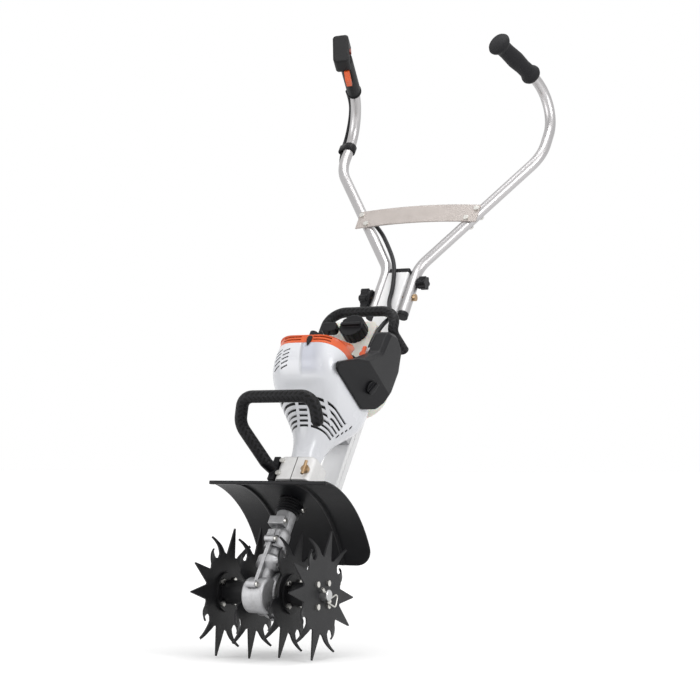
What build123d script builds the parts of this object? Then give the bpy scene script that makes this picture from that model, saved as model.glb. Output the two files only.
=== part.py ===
from build123d import *
import math
import os

# Stance. The lean frame has x across the machine, y up along the rail and z away from the rail,
# with its origin in the middle of the tine axle. The upright frame shares that origin.
LEAN = 54.0
CENTRE_SHIFT = 322.0

# Fits
FIT = 0.05
SEAT = 0.3
FREE = 1.0

# Tine discs
TINE_TIP_RADIUS = 115.0
TINE_ROOT_RADIUS = 66.0
TINE_WAIST_RADIUS = 45.0
TINE_PLATE = 3.0
TINE_PHASE = -31.0
OUTER_PATTERN = ("spike", "spike", "claw", "claw", "spike", "claw", "claw") * 2
INNER_PATTERN = ("waist", "waist", "claw", "claw", "spike", "claw", "claw") * 2
CLAW_SIDES = (-1, 1, -1, 1, 1, -1, 1, -1)
TINE_ROOT_SPREAD = 11.5
TINE_TIP_WIDTH = 2.0
CLAW_ROOT_RADIUS = 70.0
CLAW_WIDTH = 17.0
CLAW_CURL_RADIUS = 46.0
CLAW_CURL = 46.0
CLAW_HOOK = 6.0
CLAW_TIP_WIDTH = 2.4
INNER_TINE_X = 36.0
OUTER_TINE_X = 97.0
TINE_TURNS = (2.0, 8.0, -3.0, 0.0)

# Axle, hubs and linch pins
AXLE_RADIUS = 10.0
AXLE_COLLAR_RADIUS = 17.0
AXLE_END_LENGTH = 15.0
HUB_RADIUS = 21.0
HUB_FLANGE_RADIUS = 35.0
HUB_FLANGE = 4.0
HUB_BOLTS = 4
HUB_BOLT_CIRCLE_RADIUS = 27.5
HUB_BOLT_RADIUS = 3.0
HUB_BOLT_HEAD_RADIUS = 5.2
HUB_BOLT_HEAD = 4.0
LINCH_PIN_RADIUS = 3.0
LINCH_PIN_REACH = 17.0
LINCH_PIN_ANGLE = -47.0
LINCH_HEAD_RADIUS = 5.0
BAIL_WIRE_RADIUS = 1.5
BAIL_LENGTH = 34.0
BAIL_WIDTH = 24.0
BAIL_CORNER = 5.0

# Worm gearbox
WORM_OFFSET = 40.0
GEARBOX_HALF_WIDTH = 24.0
DRUM_RADIUS = 40.0
DRUM_WALL = 5.0
DRUM_CHAMBER_HALF_WIDTH = 14.0
NOSE_RADIUS = 31.0
NOSE_HALF_WIDTH = 21.0
NOSE_Y = -27.0
NOSE_Z = 36.0
WORM_HOUSING_RADIUS = 20.0
WORM_HOUSING_LOW = -40.0
WORM_HOUSING_HIGH = 92.0
WORM_WAIST_RADIUS = 15.0
WORM_SHOULDER_START = 62.0
BULGE_START = 18.0
BULGE_END = 50.0
BULGE_RADIUS = 23.0
BULGE_BEVEL = 9.0
NECK_PAD_HALF_WIDTH = 12.0
NECK_PAD_RISE = 2.0
NECK_PAD_START = 81.0
NECK_RADIUS = 17.5
NECK_LENGTH = 46.0
FLANGE_RIM = 4.0
FLANGE_HALF_WIDTH = 3.5
LUG_RADIUS = 6.0
LUG_HALF_WIDTH = 9.0
DRUM_LUG_ANGLES = (-20.0, -75.0, -130.0)
NECK_BOSS_WIDTH = 30.0
NECK_BOSS_LENGTH = 16.0
NECK_BOSS_RISE = 9.0
CASE_SCREW_RADIUS = 2.5
CASE_SCREW_HEAD_RADIUS = 4.4
CASE_SCREW_HEAD = 4.0
AXLE_BEARING_RADIUS = 18.0
AXLE_BEARING_WIDTH = 8.0
WORM_BEARING_RADIUS = 13.0
WORM_BEARING_WIDTH = 8.0
WORM_SHAFT_RADIUS = 5.0
WORM_CORE_RADIUS = 6.2
WORM_THREAD_RADIUS = 8.2
WORM_PITCH = 8.6
WORM_TURNS = 5
WHEEL_TEETH = 23
WHEEL_RADIUS = 31.4
WHEEL_TOOTH_DEPTH = 2.6
WHEEL_HALF_WIDTH = 8.0
WORM_CHAMBER_RADIUS = 10.0

# Drive tube, shaft and bushes
DRIVE_TUBE_RADIUS = 13.0
DRIVE_TUBE_WALL = 2.0
DRIVE_SHAFT_RADIUS = 4.0
COUPLING_Y = 76.0
BUSH_LENGTH = 12.0

# Mud guard and its collar
GUARD_RADIUS = 231.0
GUARD_COLLAR_GAP = 4.45
GUARD_CROSSING_ANGLE = 56.4
GUARD_FRONT_ANGLE = 80.8
GUARD_REAR_ANGLE = 18.7
GUARD_HALF_WIDTH = 117.0
GUARD_WALL = 3.0
GUARD_RIM = 7.0
GUARD_RIM_DEPTH = 6.0
GUARD_RIB_X = 58.0
GUARD_RIB_WIDTH = 5.0
GUARD_RIB_DEPTH = 7.0
GUARD_CORNER = 34.0
GUARD_SLEEVE_RADIUS = 21.0
COLLAR_RADIUS = 19.0
COLLAR_RIB_RADIUS = 22.0
COLLAR_RIBS = 5
COLLAR_LENGTH = 28.0
COLLAR_LUG_WIDTH = 12.0

# Tool clamp
CLAMP_START = 197.0
CLAMP_LENGTH = 49.0
CLAMP_HALF_WIDTH = 36.0
CLAMP_TOP = 68.0
CLAMP_CORNER = 12.0
CLAMP_FOOT_HALF_WIDTH = 20.0
CLAMP_SHOULDER = 18.0
T_SCREW_RADIUS = 4.0
T_SCREW_X = 26.0
T_SCREW_HEAD_RADIUS = 7.5
T_SCREW_HEAD = 7.0
T_BAR_RADIUS = 3.0
T_BAR_HALF_LENGTH = 14.0

# Front handle, in the upright frame
FRONT_HANDLE_RADIUS = 11.0
FRONT_HANDLE_ROUTE = ((-52.0, 66.0, 228.0), (-93.0, 42.0, 298.0), (-76.0, 25.0, 346.0), (66.0, 25.0, 346.0),
                      (70.0, 34.0, 303.0))
FRONT_HANDLE_BENDS = (36.0, 26.0, 26.0)
FRONT_HANDLE_FOOT = 12.0

# Rail
RAIL_DROP = 45.5
RAIL_WIDTH = 45.0
RAIL_DEPTH = 25.0
RAIL_WALL = 2.5
RAIL_LOW = 172.0
RAIL_HIGH = 779.0
RAIL_CORNER = 2.5
RAIL_GROOVE_DROP = 7.0
RAIL_GROOVE = 2.6
RAIL_GROOVE_DEPTH = 1.2
RAIL_CAP = 10.0
RAIL_CAP_PLUG = 14.0

# Engine block
CARRIER_START = 356.0
CARRIER_END = 446.0
CARRIER_HALF_WIDTH = 21.0
CRANKCASE_START = 362.0
CRANKCASE_END = 446.0
CRANKCASE_RADIUS = 37.0
CRANKCASE_WALL = 5.0
CRANKCASE_FOOT_Z = -4.0
CYLINDER_Y = 408.0
CYLINDER_BORE_RADIUS = 20.0
CYLINDER_WALL = 4.0
CYLINDER_DECK_Z = 80.0
CYLINDER_HEAD_Z = 134.0
CYLINDER_HEAD = 7.0
FIN_HALF_X = 36.0
FIN_HALF_Y = 30.0
FIN_COUNT = 6
FIN_THICKNESS = 2.0
STROKE_HALF = 14.0
CRANK_RADIUS = 6.0
CRANK_FRONT = 302.0
CRANK_REAR = 470.0
CRANK_WEB_RADIUS = 25.0
CRANK_WEB = 9.0
CRANK_PIN_RADIUS = 5.0
CRANK_PIN_LENGTH = 13.0
FAN_START = 332.0
FAN_RADIUS = 43.0
FAN_DISC = 4.0
FAN_BLADES = 14
FAN_BLADE = 14.0
CLUTCH_START = 304.0
CLUTCH_LENGTH = 16.0
CLUTCH_SHOE_RADIUS = 21.0
DRUM_CUP_RADIUS = 25.0
DRUM_CUP_WALL = 2.5
DRUM_CUP_START = 292.0
PLUG_RADIUS = 6.0
PLUG_LENGTH = 16.0
BOOT_RADIUS = 9.0
BOOT_LENGTH = 20.0
BOOT_REACH = 56.0
MUFFLER_DEPTH = 22.0
MUFFLER_LENGTH = 52.0
MUFFLER_HEIGHT = 44.0

# Recoil starter
STARTER_RADIUS = 48.0
STARTER_WALL = 3.0
STARTER_DEPTH = 34.0
ROPE_RADIUS = 1.8
ROPE_X = -36.0
ROPE_Z = 58.0
ROPE_INNER_END = 398.0
GRIP_BAR_Y = 542.0
GRIP_BAR_LENGTH = 20.0
GRIP_BAR_HALF_WIDTH = 16.0
GRIP_BAR_HALF_HEIGHT = 7.0

# Cowl and top cover: half width, lowest and highest z and corner radius of each section along y
COWL_WALL = 3.0
COWL_NECK_START = 248.0
COWL_SECTIONS = (
    (248.0, 26.0, 14.0, 66.0, 25.0), (286.0, 29.0, 9.0, 76.0, 27.0), (326.0, 48.0, -8.0, 106.0, 40.0),
    (362.0, 65.0, -23.0, 150.0, 40.0), (402.0, 69.0, -26.0, 170.0, 40.0), (442.0, 67.0, -24.0, 174.0, 42.0),
)
COWL_CHAMBER_START = 286.0
VENT_WIDTH = 3.6
VENT_PITCH = 7.0
VENT_ROWS = 6
VENT_START = 302.0
VENT_SPANS = ((-80.0, -14.0), (-8.0, 9.0), (14.0, 42.0), (47.0, 80.0))
SHOULDER_SLITS = 5
SHOULDER_SLIT_X = (-48.0, -31.0)
SHOULDER_SLIT_START = 379.0
SHOULDER_SLIT_PITCH = 7.8
SHOULDER_SLIT_LENGTH = 14.0
SHOULDER_SLIT_TURN = 22.0
SIDE_SLITS = 4
SIDE_SLIT_START = (318.0, 33.0)
SIDE_SLIT_STEP = (8.0, -3.0)
SIDE_SLIT_LENGTH = 10.0
SLIT_WIDTH = 2.6
COVER_START = 426.0
COVER_LENGTH = 44.0
COVER_LOW = 92.0
COVER_TAPER = 22.0
COVER_REAR_LOW = 70.0
COVER_REAR_HIGH = 94.0
COVER_CORNER = 38.0
COVER_REAR_CORNER = 10.0
COVER_SLOT_ROWS = 2
COVER_SLOT_SPANS = ((-46.0, -8.0), (16.0, 50.0))
COVER_SLOT_PITCH = 6.0
COVER_SLOT = 2.6

# Air filter side
FILTER_FACE_X = 69.5
FILTER_DEPTH = 29.0
FILTER_OUTLINE = ((380.0, 170.0), (380.0, 30.0), (402.0, 2.0), (446.0, -12.0), (496.0, -14.0), (540.0, 0.0),
                  (552.0, 34.0), (538.0, 62.0), (484.0, 68.0), (438.0, 108.0))
FILTER_CORNERS = (10.0, 14.0, 16.0, 20.0, 20.0, 16.0, 14.0, 12.0, 16.0, 20.0)
FILTER_WALL = 2.5
FILTER_BEVEL = 7.0
FILTER_LIP = 4.0
FILTER_SLOPE = 58.0
FILTER_KNOB_Y = 415.0
FILTER_KNOB_Z = 50.0
FILTER_KNOB_RADIUS = 13.0
FILTER_KNOB_HEIGHT = 9.0
CARB_START = 452.0
CARB_END = 500.0
CARB_LOW = 30.0
CARB_HIGH = 62.0
CARB_THROAT_RADIUS = 8.0
CHOKE_X = 59.0
CHOKE_Y = 480.0
CHOKE_RADIUS = 6.0
CHOKE_HEIGHT = 8.0
CHOKE_REACH = 17.0
CHOKE_TAB = 3.0

# Fuel tank, cap and rear loop handle
TANK_LEFT = 61.0
TANK_RIGHT = 48.0
TANK_START = 488.0
TANK_END = 584.0
TANK_TOP = 38.0
TANK_WALL = 2.5
TANK_CORNER = 14.0
TANK_LOBE_HALF_WIDTH = 68.0
TANK_LOBE_START = 414.0
TANK_LOBE_TOP = -9.0
TANK_LOBE_CORNER = 46.0
FILLER_X = 10.0
FILLER_Y = 556.0
FILLER_RADIUS = 19.0
FILLER_HEIGHT = 14.0
CAP_RADIUS = 25.0
CAP_HEIGHT = 24.0
CAP_WALL = 3.0
CAP_GRIPS = 16
LOOP_RADIUS = 9.5
LOOP_HALF_WIDTH = 71.0
LOOP_START = 512.0
LOOP_END = 620.0
LOOP_Z = 24.0
LOOP_BEND = 34.0
LOOP_KNEE = (75.0, 570.0, 22.0)
LOOP_KNEE_BEND = 14.0
LOOP_FOOT = (79.0, 567.0, -32.0)
LOOP_LUG = 16.0

# Handlebar
BAR_RADIUS = 11.0
BAR_WALL = 2.0
BAR_GAP = 0.4
BAR_LOW = 682.0
BAR_FIRST_BEND_Y = 799.0
BAR_SECOND_BEND_Y = 1086.0
BAR_THIRD_BEND_Y = 1240.0
BAR_HALF_WIDTH = 229.0
BAR_BENDS = (67.0, 103.0, 82.0)
GRIP_RISE = 209.0
GRIP_LEAN_IN = -0.267
GRIP_LEAN_DOWN = -0.142
BAR_CAP = 9.0
BAR_CAP_PLUG = 12.0
PIVOT_Y = 722.0
PIVOT_RADIUS = 4.0
PIVOT_HEAD_RADIUS = 7.0
PIVOT_HEAD = 5.0
KNOB_Y = 759.0
KNOB_STUD_RADIUS = 3.0
LEFT_KNOB_RADIUS = 23.0
LEFT_KNOB_HEIGHT = 20.0
RIGHT_KNOB_RADIUS = 14.0
RIGHT_KNOB_HEIGHT = 18.0
KNOB_LOBES = 6
BRACE_Y = 926.0
BRACE_WIDTH = 44.0
BRACE_PLATE = 3.0
BRACE_ARCH = 8.0
BRACE_BOLT_PITCH = 24.0
BRACE_BOLT_RADIUS = 3.0
BRACE_BOLT_HEAD_RADIUS = 5.5
BRACE_BOLT_HEAD = 3.5

# Right grip
GRIP_RADIUS = 16.5
GRIP_LENGTH = 108.0
GRIP_FLANGE_RADIUS = 23.0
GRIP_FLANGE = 5.0
GRIP_RIBS = 9
GRIP_RIB_RISE = 1.5
GRIP_END = 4.0

# Throttle control, in its own frame: x towards the trigger, z along the grip to its free end
CONTROL_LENGTH = 112.0
CONTROL_TWIST = 16.0
CONTROL_HALF_X = 17.5
CONTROL_HALF_Y = 14.5
CONTROL_FLANGE = 3.0
HEAD_X = -14.0
HEAD_Y = -6.0
HEAD_HALF_X = 34.0
HEAD_HALF_Y = 16.5
HEAD_START = -14.0
HEAD_END = 20.0
HEAD_CORNER = 8.0
BAR_END_GAP = 14.0
TRIGGER_OUTLINE = (
    (12.6, -15.0), (22.0, -14.0), (34.0, -28.0), (32.0, -50.0), (24.0, -51.0), (19.5, -32.0), (13.4, -24.0),
)
TRIGGER_HALF_WIDTH = 5.5
TRIGGER_PIVOT = (15.2, -20.0)
LOCKOUT_OUTLINE = (
    (-12.6, -35.0), (-21.0, -35.0), (-27.0, -46.0), (-26.0, -84.0), (-20.5, -85.0), (-19.0, -52.0),
    (-13.4, -45.0),
)
LOCKOUT_HALF_WIDTH = 5.0
LOCKOUT_PIVOT = (-15.2, -41.0)
CONTROL_PIN_RADIUS = 1.8
SWITCH_Z = 6.0
SWITCH_LENGTH = 9.0
SWITCH_HALF_WIDTH = 4.0
SWITCH_RISE = 3.0
SWITCH_POCKET = 2.5
SWITCH_TRAVEL = 6.0

# Throttle cable, in the lean frame
CABLE_RADIUS = 3.0
CABLE_ROUTE = (
    (-217.4, 1226.0, 38.0), (-244.6, 1240.0, -54.0), (-245.0, 1108.0, -60.0), (-230.0, 1054.0, -66.0),
    (-176.0, 986.0, -72.4), (-104.0, 934.0, -72.4), (-42.0, 848.0, -50.0), (-10.0, 794.0, -40.0),
    (3.0, 735.0, -42.0), (5.0, 690.0, -42.0), (44.0, 638.0, -12.0), (56.0, 586.0, 30.0),
    (57.0, CARB_END + 30.0, 50.0), (58.0, CARB_END + FREE, 50.0),
)
CABLE_BENDS = (80.0, 60.0, 90.0, 140.0, 150.0, 180.0, 100.0, 140.0, 45.0, 80.0, 80.0, 50.0)

DRIVE_Z = WORM_OFFSET
RAIL_TOP = -RAIL_DROP
RAIL_MIDDLE_Z = RAIL_TOP - RAIL_DEPTH / 2
BAR_SPACING = RAIL_WIDTH / 2 + BAR_GAP + BAR_RADIUS
TINE_PITCH = 360.0 / len(OUTER_PATTERN)
TINE_ANGLES = [TINE_PHASE + TINE_PITCH * k for k in range(len(OUTER_PATTERN))]
GROUND_DROP = TINE_TIP_RADIUS * max(
    -math.sin(math.radians(angle + turn))
    for turn in (TINE_TURNS[0], TINE_TURNS[-1])
    for angle, kind in zip(TINE_ANGLES, OUTER_PATTERN) if kind == "spike"
)
TANK_LOW = RAIL_TOP
UPRIGHT = Location((0, -CENTRE_SHIFT, GROUND_DROP))
LEANING = UPRIGHT * Location((0, 0, 0), (LEAN, 0, 0))


def rod(start, end, radius):
    """Round bar from one point to another."""
    start, end = Vector(start), Vector(end)
    return extrude(Plane(origin=start, z_dir=end - start) * Circle(radius), (end - start).length)


def pipe(start, end, outer, inner):
    """Round tube from one point to another."""
    start, end = Vector(start), Vector(end)
    ring = Circle(outer) - Circle(inner)
    return extrude(Plane(origin=start, z_dir=end - start) * ring, (end - start).length)


def block(x, y, z):
    """Box between the low and high values of each axis."""
    size = (x[1] - x[0], y[1] - y[0], z[1] - z[0])
    return Pos((x[0] + x[1]) / 2, (y[0] + y[1]) / 2, (z[0] + z[1]) / 2) * Box(*size)


def across(outline, x):
    """Outline of (y, z) points carried across the machine from x[0] to x[1]."""
    side = Plane(origin=(x[0], 0, 0), x_dir=(0, 1, 0), z_dir=(1, 0, 0))
    return extrude(side * make_face(outline), x[1] - x[0])


def section(y, half_width, low, high, corner):
    """Rounded section square to the drive axis, centred on x = 0."""
    square = Plane(origin=(0, y, (low + high) / 2), x_dir=(1, 0, 0), z_dir=(0, -1, 0))
    return square * RectangleRounded(2 * half_width, high - low, corner)


def turned(radius, angle):
    """Point (y, z) at a radius and an angle from the y axis."""
    return radius * math.cos(math.radians(angle)), radius * math.sin(math.radians(angle))


def mirrored(shape):
    return mirror(shape, about=Plane.YZ)


def save(name, shape, place):
    solids = [place * solid for solid in shape] if isinstance(shape, list) else [place * shape]
    pieces = [solid for item in solids for solid in item.solids()]
    export_step(pieces[0] if len(pieces) == 1 else Compound(pieces), f"parts/{name}.step")


def tine_outline(pattern):
    """Star outline: spikes run to the tip radius, claws stop at their root, waists stay near the hub."""
    points = []
    for angle, kind in zip(TINE_ANGLES, pattern):
        reach = {"spike": TINE_TIP_RADIUS, "claw": CLAW_ROOT_RADIUS, "waist": TINE_WAIST_RADIUS}[kind]
        width = TINE_TIP_WIDTH if kind == "spike" else CLAW_WIDTH
        root = min(TINE_ROOT_RADIUS, reach)
        spread = math.degrees(math.asin(width / 2 / reach))
        points.append(turned(root, angle - TINE_ROOT_SPREAD))
        if kind != "waist":
            points.append(turned(reach, angle - spread))
            points.append(turned(reach, angle + spread))
        points.append(turned(root, angle + TINE_ROOT_SPREAD))
    return Polyline(*points, close=True)


def claw(middle_x, angle, side):
    """Tapered strip past the claw's root, curled out of the disc towards side."""
    radial = Vector(0, *turned(1, angle))
    tangent = Vector(0, *turned(1, angle + 90))
    root = Vector(middle_x, 0, 0) + radial * (CLAW_ROOT_RADIUS - TINE_PLATE)
    curl = math.radians(CLAW_CURL)

    def on_curl(radius, share):
        turn = curl * share
        return radius * math.sin(turn), side * (CLAW_CURL_RADIUS - radius * math.cos(turn))

    near, far = CLAW_CURL_RADIUS - TINE_PLATE / 2, CLAW_CURL_RADIUS + TINE_PLATE / 2
    edge = (
        ThreePointArc(on_curl(near, 0), on_curl(near, 0.5), on_curl(near, 1))
        + Line(on_curl(near, 1), on_curl(far, 1))
        + ThreePointArc(on_curl(far, 1), on_curl(far, 0.5), on_curl(far, 0))
        + Line(on_curl(far, 0), on_curl(near, 0))
    )
    side_view = Plane(origin=root, x_dir=radial, z_dir=radial.cross(Vector(1, 0, 0)))
    strip = extrude(side_view * make_face(edge), CLAW_WIDTH, both=True)
    half, tip = CLAW_WIDTH / 2, CLAW_TIP_WIDTH / 2
    reach = far * math.sin(curl)
    blade = Polyline(
        (-half, 0), (half, 0), (half * 0.6 + CLAW_HOOK * 0.15, reach * 0.5), (CLAW_HOOK + tip, reach),
        (CLAW_HOOK - tip, reach), (CLAW_HOOK * 0.15 - half * 0.5, reach * 0.5), close=True,
    )
    front_view = Plane(origin=root, x_dir=tangent, z_dir=tangent.cross(radial))
    return strip & extrude(front_view * make_face(blade), 2 * CLAW_CURL_RADIUS, both=True)


def hub_bolt_spots():
    return [turned(HUB_BOLT_CIRCLE_RADIUS, 45 + 360 * k / HUB_BOLTS) for k in range(HUB_BOLTS)]


def tine_disc(middle_x, pattern, turn):
    """One star disc, upright, with its claws curled to both sides, turned on the axle by turn degrees."""
    x = (middle_x - TINE_PLATE / 2, middle_x + TINE_PLATE / 2)
    disc = across(tine_outline(pattern), x)
    claw_angles = [angle for angle, kind in zip(TINE_ANGLES, pattern) if kind == "claw"]
    for angle, side in zip(claw_angles, CLAW_SIDES):
        disc += claw(middle_x, angle, side)
    disc = Rot(turn, 0, 0) * disc
    disc -= rod((x[0] - FREE, 0, 0), (x[1] + FREE, 0, 0), AXLE_RADIUS + FIT)
    for y, z in hub_bolt_spots():
        disc -= rod((x[0] - FREE, y, z), (x[1] + FREE, y, z), HUB_BOLT_RADIUS + FIT)
    return disc


def hub():
    """Right hub tube with a flange for each disc."""
    low = INNER_TINE_X + TINE_PLATE / 2
    high = OUTER_TINE_X - TINE_PLATE / 2
    body = rod((low, 0, 0), (high, 0, 0), HUB_RADIUS)
    body += rod((low, 0, 0), (low + HUB_FLANGE, 0, 0), HUB_FLANGE_RADIUS)
    body += rod((high - HUB_FLANGE, 0, 0), (high, 0, 0), HUB_FLANGE_RADIUS)
    body -= rod((low - FREE, 0, 0), (high + FREE, 0, 0), AXLE_RADIUS + FIT)
    for y, z in hub_bolt_spots():
        body -= rod((low - FREE, y, z), (high + FREE, y, z), HUB_BOLT_RADIUS + FIT)
    return body


def hub_bolts():
    """Right side bolts: one through each disc and its flange, with a nut on the far face."""
    bolts = []
    for disc_x, way in ((INNER_TINE_X, 1), (OUTER_TINE_X, -1)):
        start = disc_x - way * TINE_PLATE / 2
        end = disc_x + way * (TINE_PLATE / 2 + HUB_FLANGE)
        for y, z in hub_bolt_spots():
            bolt = rod((start, y, z), (end, y, z), HUB_BOLT_RADIUS)
            bolt += rod((start - way * HUB_BOLT_HEAD, y, z), (start, y, z), HUB_BOLT_HEAD_RADIUS)
            nut = Plane(origin=(end, y, z), z_dir=(way, 0, 0)) * RegularPolygon(HUB_BOLT_HEAD_RADIUS, 6)
            bolts.append(bolt + extrude(nut, HUB_BOLT_HEAD))
    return bolts


def axle():
    """Tine axle with a collar on each side of the gearbox and a cross hole at each end."""
    end = OUTER_TINE_X + TINE_PLATE / 2 + AXLE_END_LENGTH
    shaft = rod((-end, 0, 0), (end, 0, 0), AXLE_RADIUS)
    shaft = chamfer(shaft.edges().filter_by(GeomType.CIRCLE), 1.5)
    for way in (-1, 1):
        low = way * (GEARBOX_HALF_WIDTH + SEAT)
        high = way * (INNER_TINE_X - TINE_PLATE / 2)
        shaft += rod((low, 0, 0), (high, 0, 0), AXLE_COLLAR_RADIUS)
        y, z = turned(AXLE_RADIUS + FREE, LINCH_PIN_ANGLE)
        x = way * linch_pin_x()
        shaft -= rod((x, -y, -z), (x, y, z), LINCH_PIN_RADIUS + FIT)
    return shaft


def linch_pin_x():
    return OUTER_TINE_X + TINE_PLATE / 2 + HUB_BOLT_HEAD + BAIL_WIRE_RADIUS + FREE


def linch_pin():
    """Right linch pin through the axle end, with its triangular wire bail."""
    x = linch_pin_x()
    y, z = turned(LINCH_PIN_REACH, LINCH_PIN_ANGLE)
    pin = rod((x, -y, -z), (x, y, z), LINCH_PIN_RADIUS)
    head_y, head_z = turned(LINCH_PIN_REACH - LINCH_HEAD_RADIUS, LINCH_PIN_ANGLE)
    pin += rod((x, head_y, head_z), (x, y, z), LINCH_HEAD_RADIUS)
    near = (y + head_y) / 2 - 1.7 * BAIL_CORNER
    far = y + BAIL_LENGTH
    bail = FilletPolyline(
        (x, near, (z + head_z) / 2), (x, far, z + BAIL_WIDTH * 0.55),
        (x, far - BAIL_LENGTH * 0.3, z - BAIL_WIDTH * 0.45), radius=BAIL_CORNER, close=True,
    )
    start = bail @ 0
    wire = sweep(Plane(origin=start, z_dir=bail % 0) * Circle(BAIL_WIRE_RADIUS), path=bail)
    return pin + wire


def worm_wheel():
    """Bronze worm wheel with plain straight teeth."""
    points = []
    pitch = 360.0 / WHEEL_TEETH
    root = WHEEL_RADIUS - WHEEL_TOOTH_DEPTH
    for k in range(WHEEL_TEETH):
        for share, radius in ((-0.36, root), (-0.14, WHEEL_RADIUS), (0.14, WHEEL_RADIUS), (0.36, root)):
            points.append(turned(radius, (k + share) * pitch))
    wheel = across(Polyline(*points, close=True), (-WHEEL_HALF_WIDTH, WHEEL_HALF_WIDTH))
    return wheel - rod((-WHEEL_HALF_WIDTH - FREE, 0, 0), (WHEEL_HALF_WIDTH + FREE, 0, 0), AXLE_RADIUS + FIT)


def worm_low():
    return WORM_HOUSING_LOW + DRUM_WALL


def worm_bearing_spots():
    """Low ends of the two worm bearings along y."""
    high = WORM_PITCH * WORM_TURNS / 2 + FREE + SEAT
    return worm_low(), high + FREE


def worm_shaft():
    """Worm with its thread, running in two bearings, up to the square coupling of the drive shaft."""
    low = worm_low() + SEAT
    length = WORM_PITCH * WORM_TURNS
    shaft = rod((0, low, DRIVE_Z), (0, COUPLING_Y, DRIVE_Z), WORM_SHAFT_RADIUS)
    shaft += rod((0, -length / 2, DRIVE_Z), (0, length / 2, DRIVE_Z), WORM_CORE_RADIUS)
    run = length - WORM_PITCH
    path = Helix(pitch=WORM_PITCH, height=run, radius=WORM_CORE_RADIUS)
    half = WORM_PITCH * 0.26
    rise = WORM_THREAD_RADIUS - WORM_CORE_RADIUS
    tooth = Polyline((-0.6, -half), (rise, -half * 0.45), (rise, half * 0.45), (-0.6, half), close=True)
    start = Plane(origin=path @ 0, x_dir=(1, 0, 0), z_dir=(0, -1, 0))
    thread = sweep(start * make_face(tooth), path=path, is_frenet=True)
    place = Location((0, -run / 2, DRIVE_Z), (-90, 0, 0))
    return shaft + place * thread


def lug_spots():
    """Places (y, z) of the case screws: round the drum and beside the neck."""
    clear = CASE_SCREW_HEAD_RADIUS + FREE / 2
    spots = [turned(DRUM_RADIUS + clear, angle) for angle in DRUM_LUG_ANGLES]
    reach = WORM_HOUSING_RADIUS + clear
    middle = (DRUM_RADIUS + WORM_HOUSING_HIGH) / 2 + LUG_RADIUS
    spots += [(middle, DRIVE_Z + reach), (middle, DRIVE_Z - reach)]
    return spots + [(NOSE_Y, NOSE_Z + NOSE_RADIUS + clear)]


def neck_boss():
    y = WORM_HOUSING_HIGH + NECK_LENGTH * 0.42
    low = DRIVE_Z + NECK_RADIUS * 0.6
    high = DRIVE_Z + NECK_RADIUS + NECK_BOSS_RISE
    half = NECK_BOSS_WIDTH / 2
    return (-half, half), (y - NECK_BOSS_LENGTH / 2, y + NECK_BOSS_LENGTH / 2), (low, high)


def neck_screw_spot():
    x, y, z = neck_boss()
    return (y[0] + y[1]) / 2, z[1] - CASE_SCREW_HEAD_RADIUS


def gearbox_case():
    """Both halves as one casting, before it is parted on x = 0."""
    half = GEARBOX_HALF_WIDTH
    neck_end = WORM_HOUSING_HIGH + NECK_LENGTH
    low, high = (0, WORM_HOUSING_LOW, DRIVE_Z), (0, WORM_HOUSING_HIGH, DRIVE_Z)
    case = rod((-half, 0, 0), (half, 0, 0), DRUM_RADIUS)
    case = chamfer(case.edges().filter_by(GeomType.CIRCLE), 4)
    case += rod(low, high, WORM_WAIST_RADIUS)
    case += rod((0, WORM_SHOULDER_START, DRIVE_Z), high, WORM_HOUSING_RADIUS)
    bulge = rod((0, BULGE_START, DRIVE_Z), (0, BULGE_END, DRIVE_Z), BULGE_RADIUS)
    case += chamfer(bulge.edges().filter_by(GeomType.CIRCLE), BULGE_BEVEL)
    pad = NECK_PAD_HALF_WIDTH
    case += block((-pad, pad), (NECK_PAD_START, WORM_HOUSING_HIGH + NECK_PAD_RISE),
                  (DRIVE_Z, DRIVE_Z + WORM_HOUSING_RADIUS + NECK_PAD_RISE))
    nose = rod((-NOSE_HALF_WIDTH, NOSE_Y, NOSE_Z), (NOSE_HALF_WIDTH, NOSE_Y, NOSE_Z), NOSE_RADIUS)
    case += fillet(nose.edges().filter_by(GeomType.CIRCLE), 5)
    case += Location(high) * Sphere(WORM_HOUSING_RADIUS)
    case += rod(high, (0, neck_end, DRIVE_Z), NECK_RADIUS)
    rim = rod((-FLANGE_HALF_WIDTH, 0, 0), (FLANGE_HALF_WIDTH, 0, 0), DRUM_RADIUS + FLANGE_RIM)
    width = WORM_HOUSING_RADIUS + FLANGE_RIM
    rim += block((-FLANGE_HALF_WIDTH, FLANGE_HALF_WIDTH), (WORM_HOUSING_LOW, WORM_HOUSING_HIGH + FREE),
                 (DRIVE_Z - width, DRIVE_Z + width))
    case += rim
    for y, z in lug_spots():
        case += rod((-LUG_HALF_WIDTH, y, z), (LUG_HALF_WIDTH, y, z), LUG_RADIUS)
    case += block(*neck_boss())
    return case - gearbox_chamber()


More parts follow.
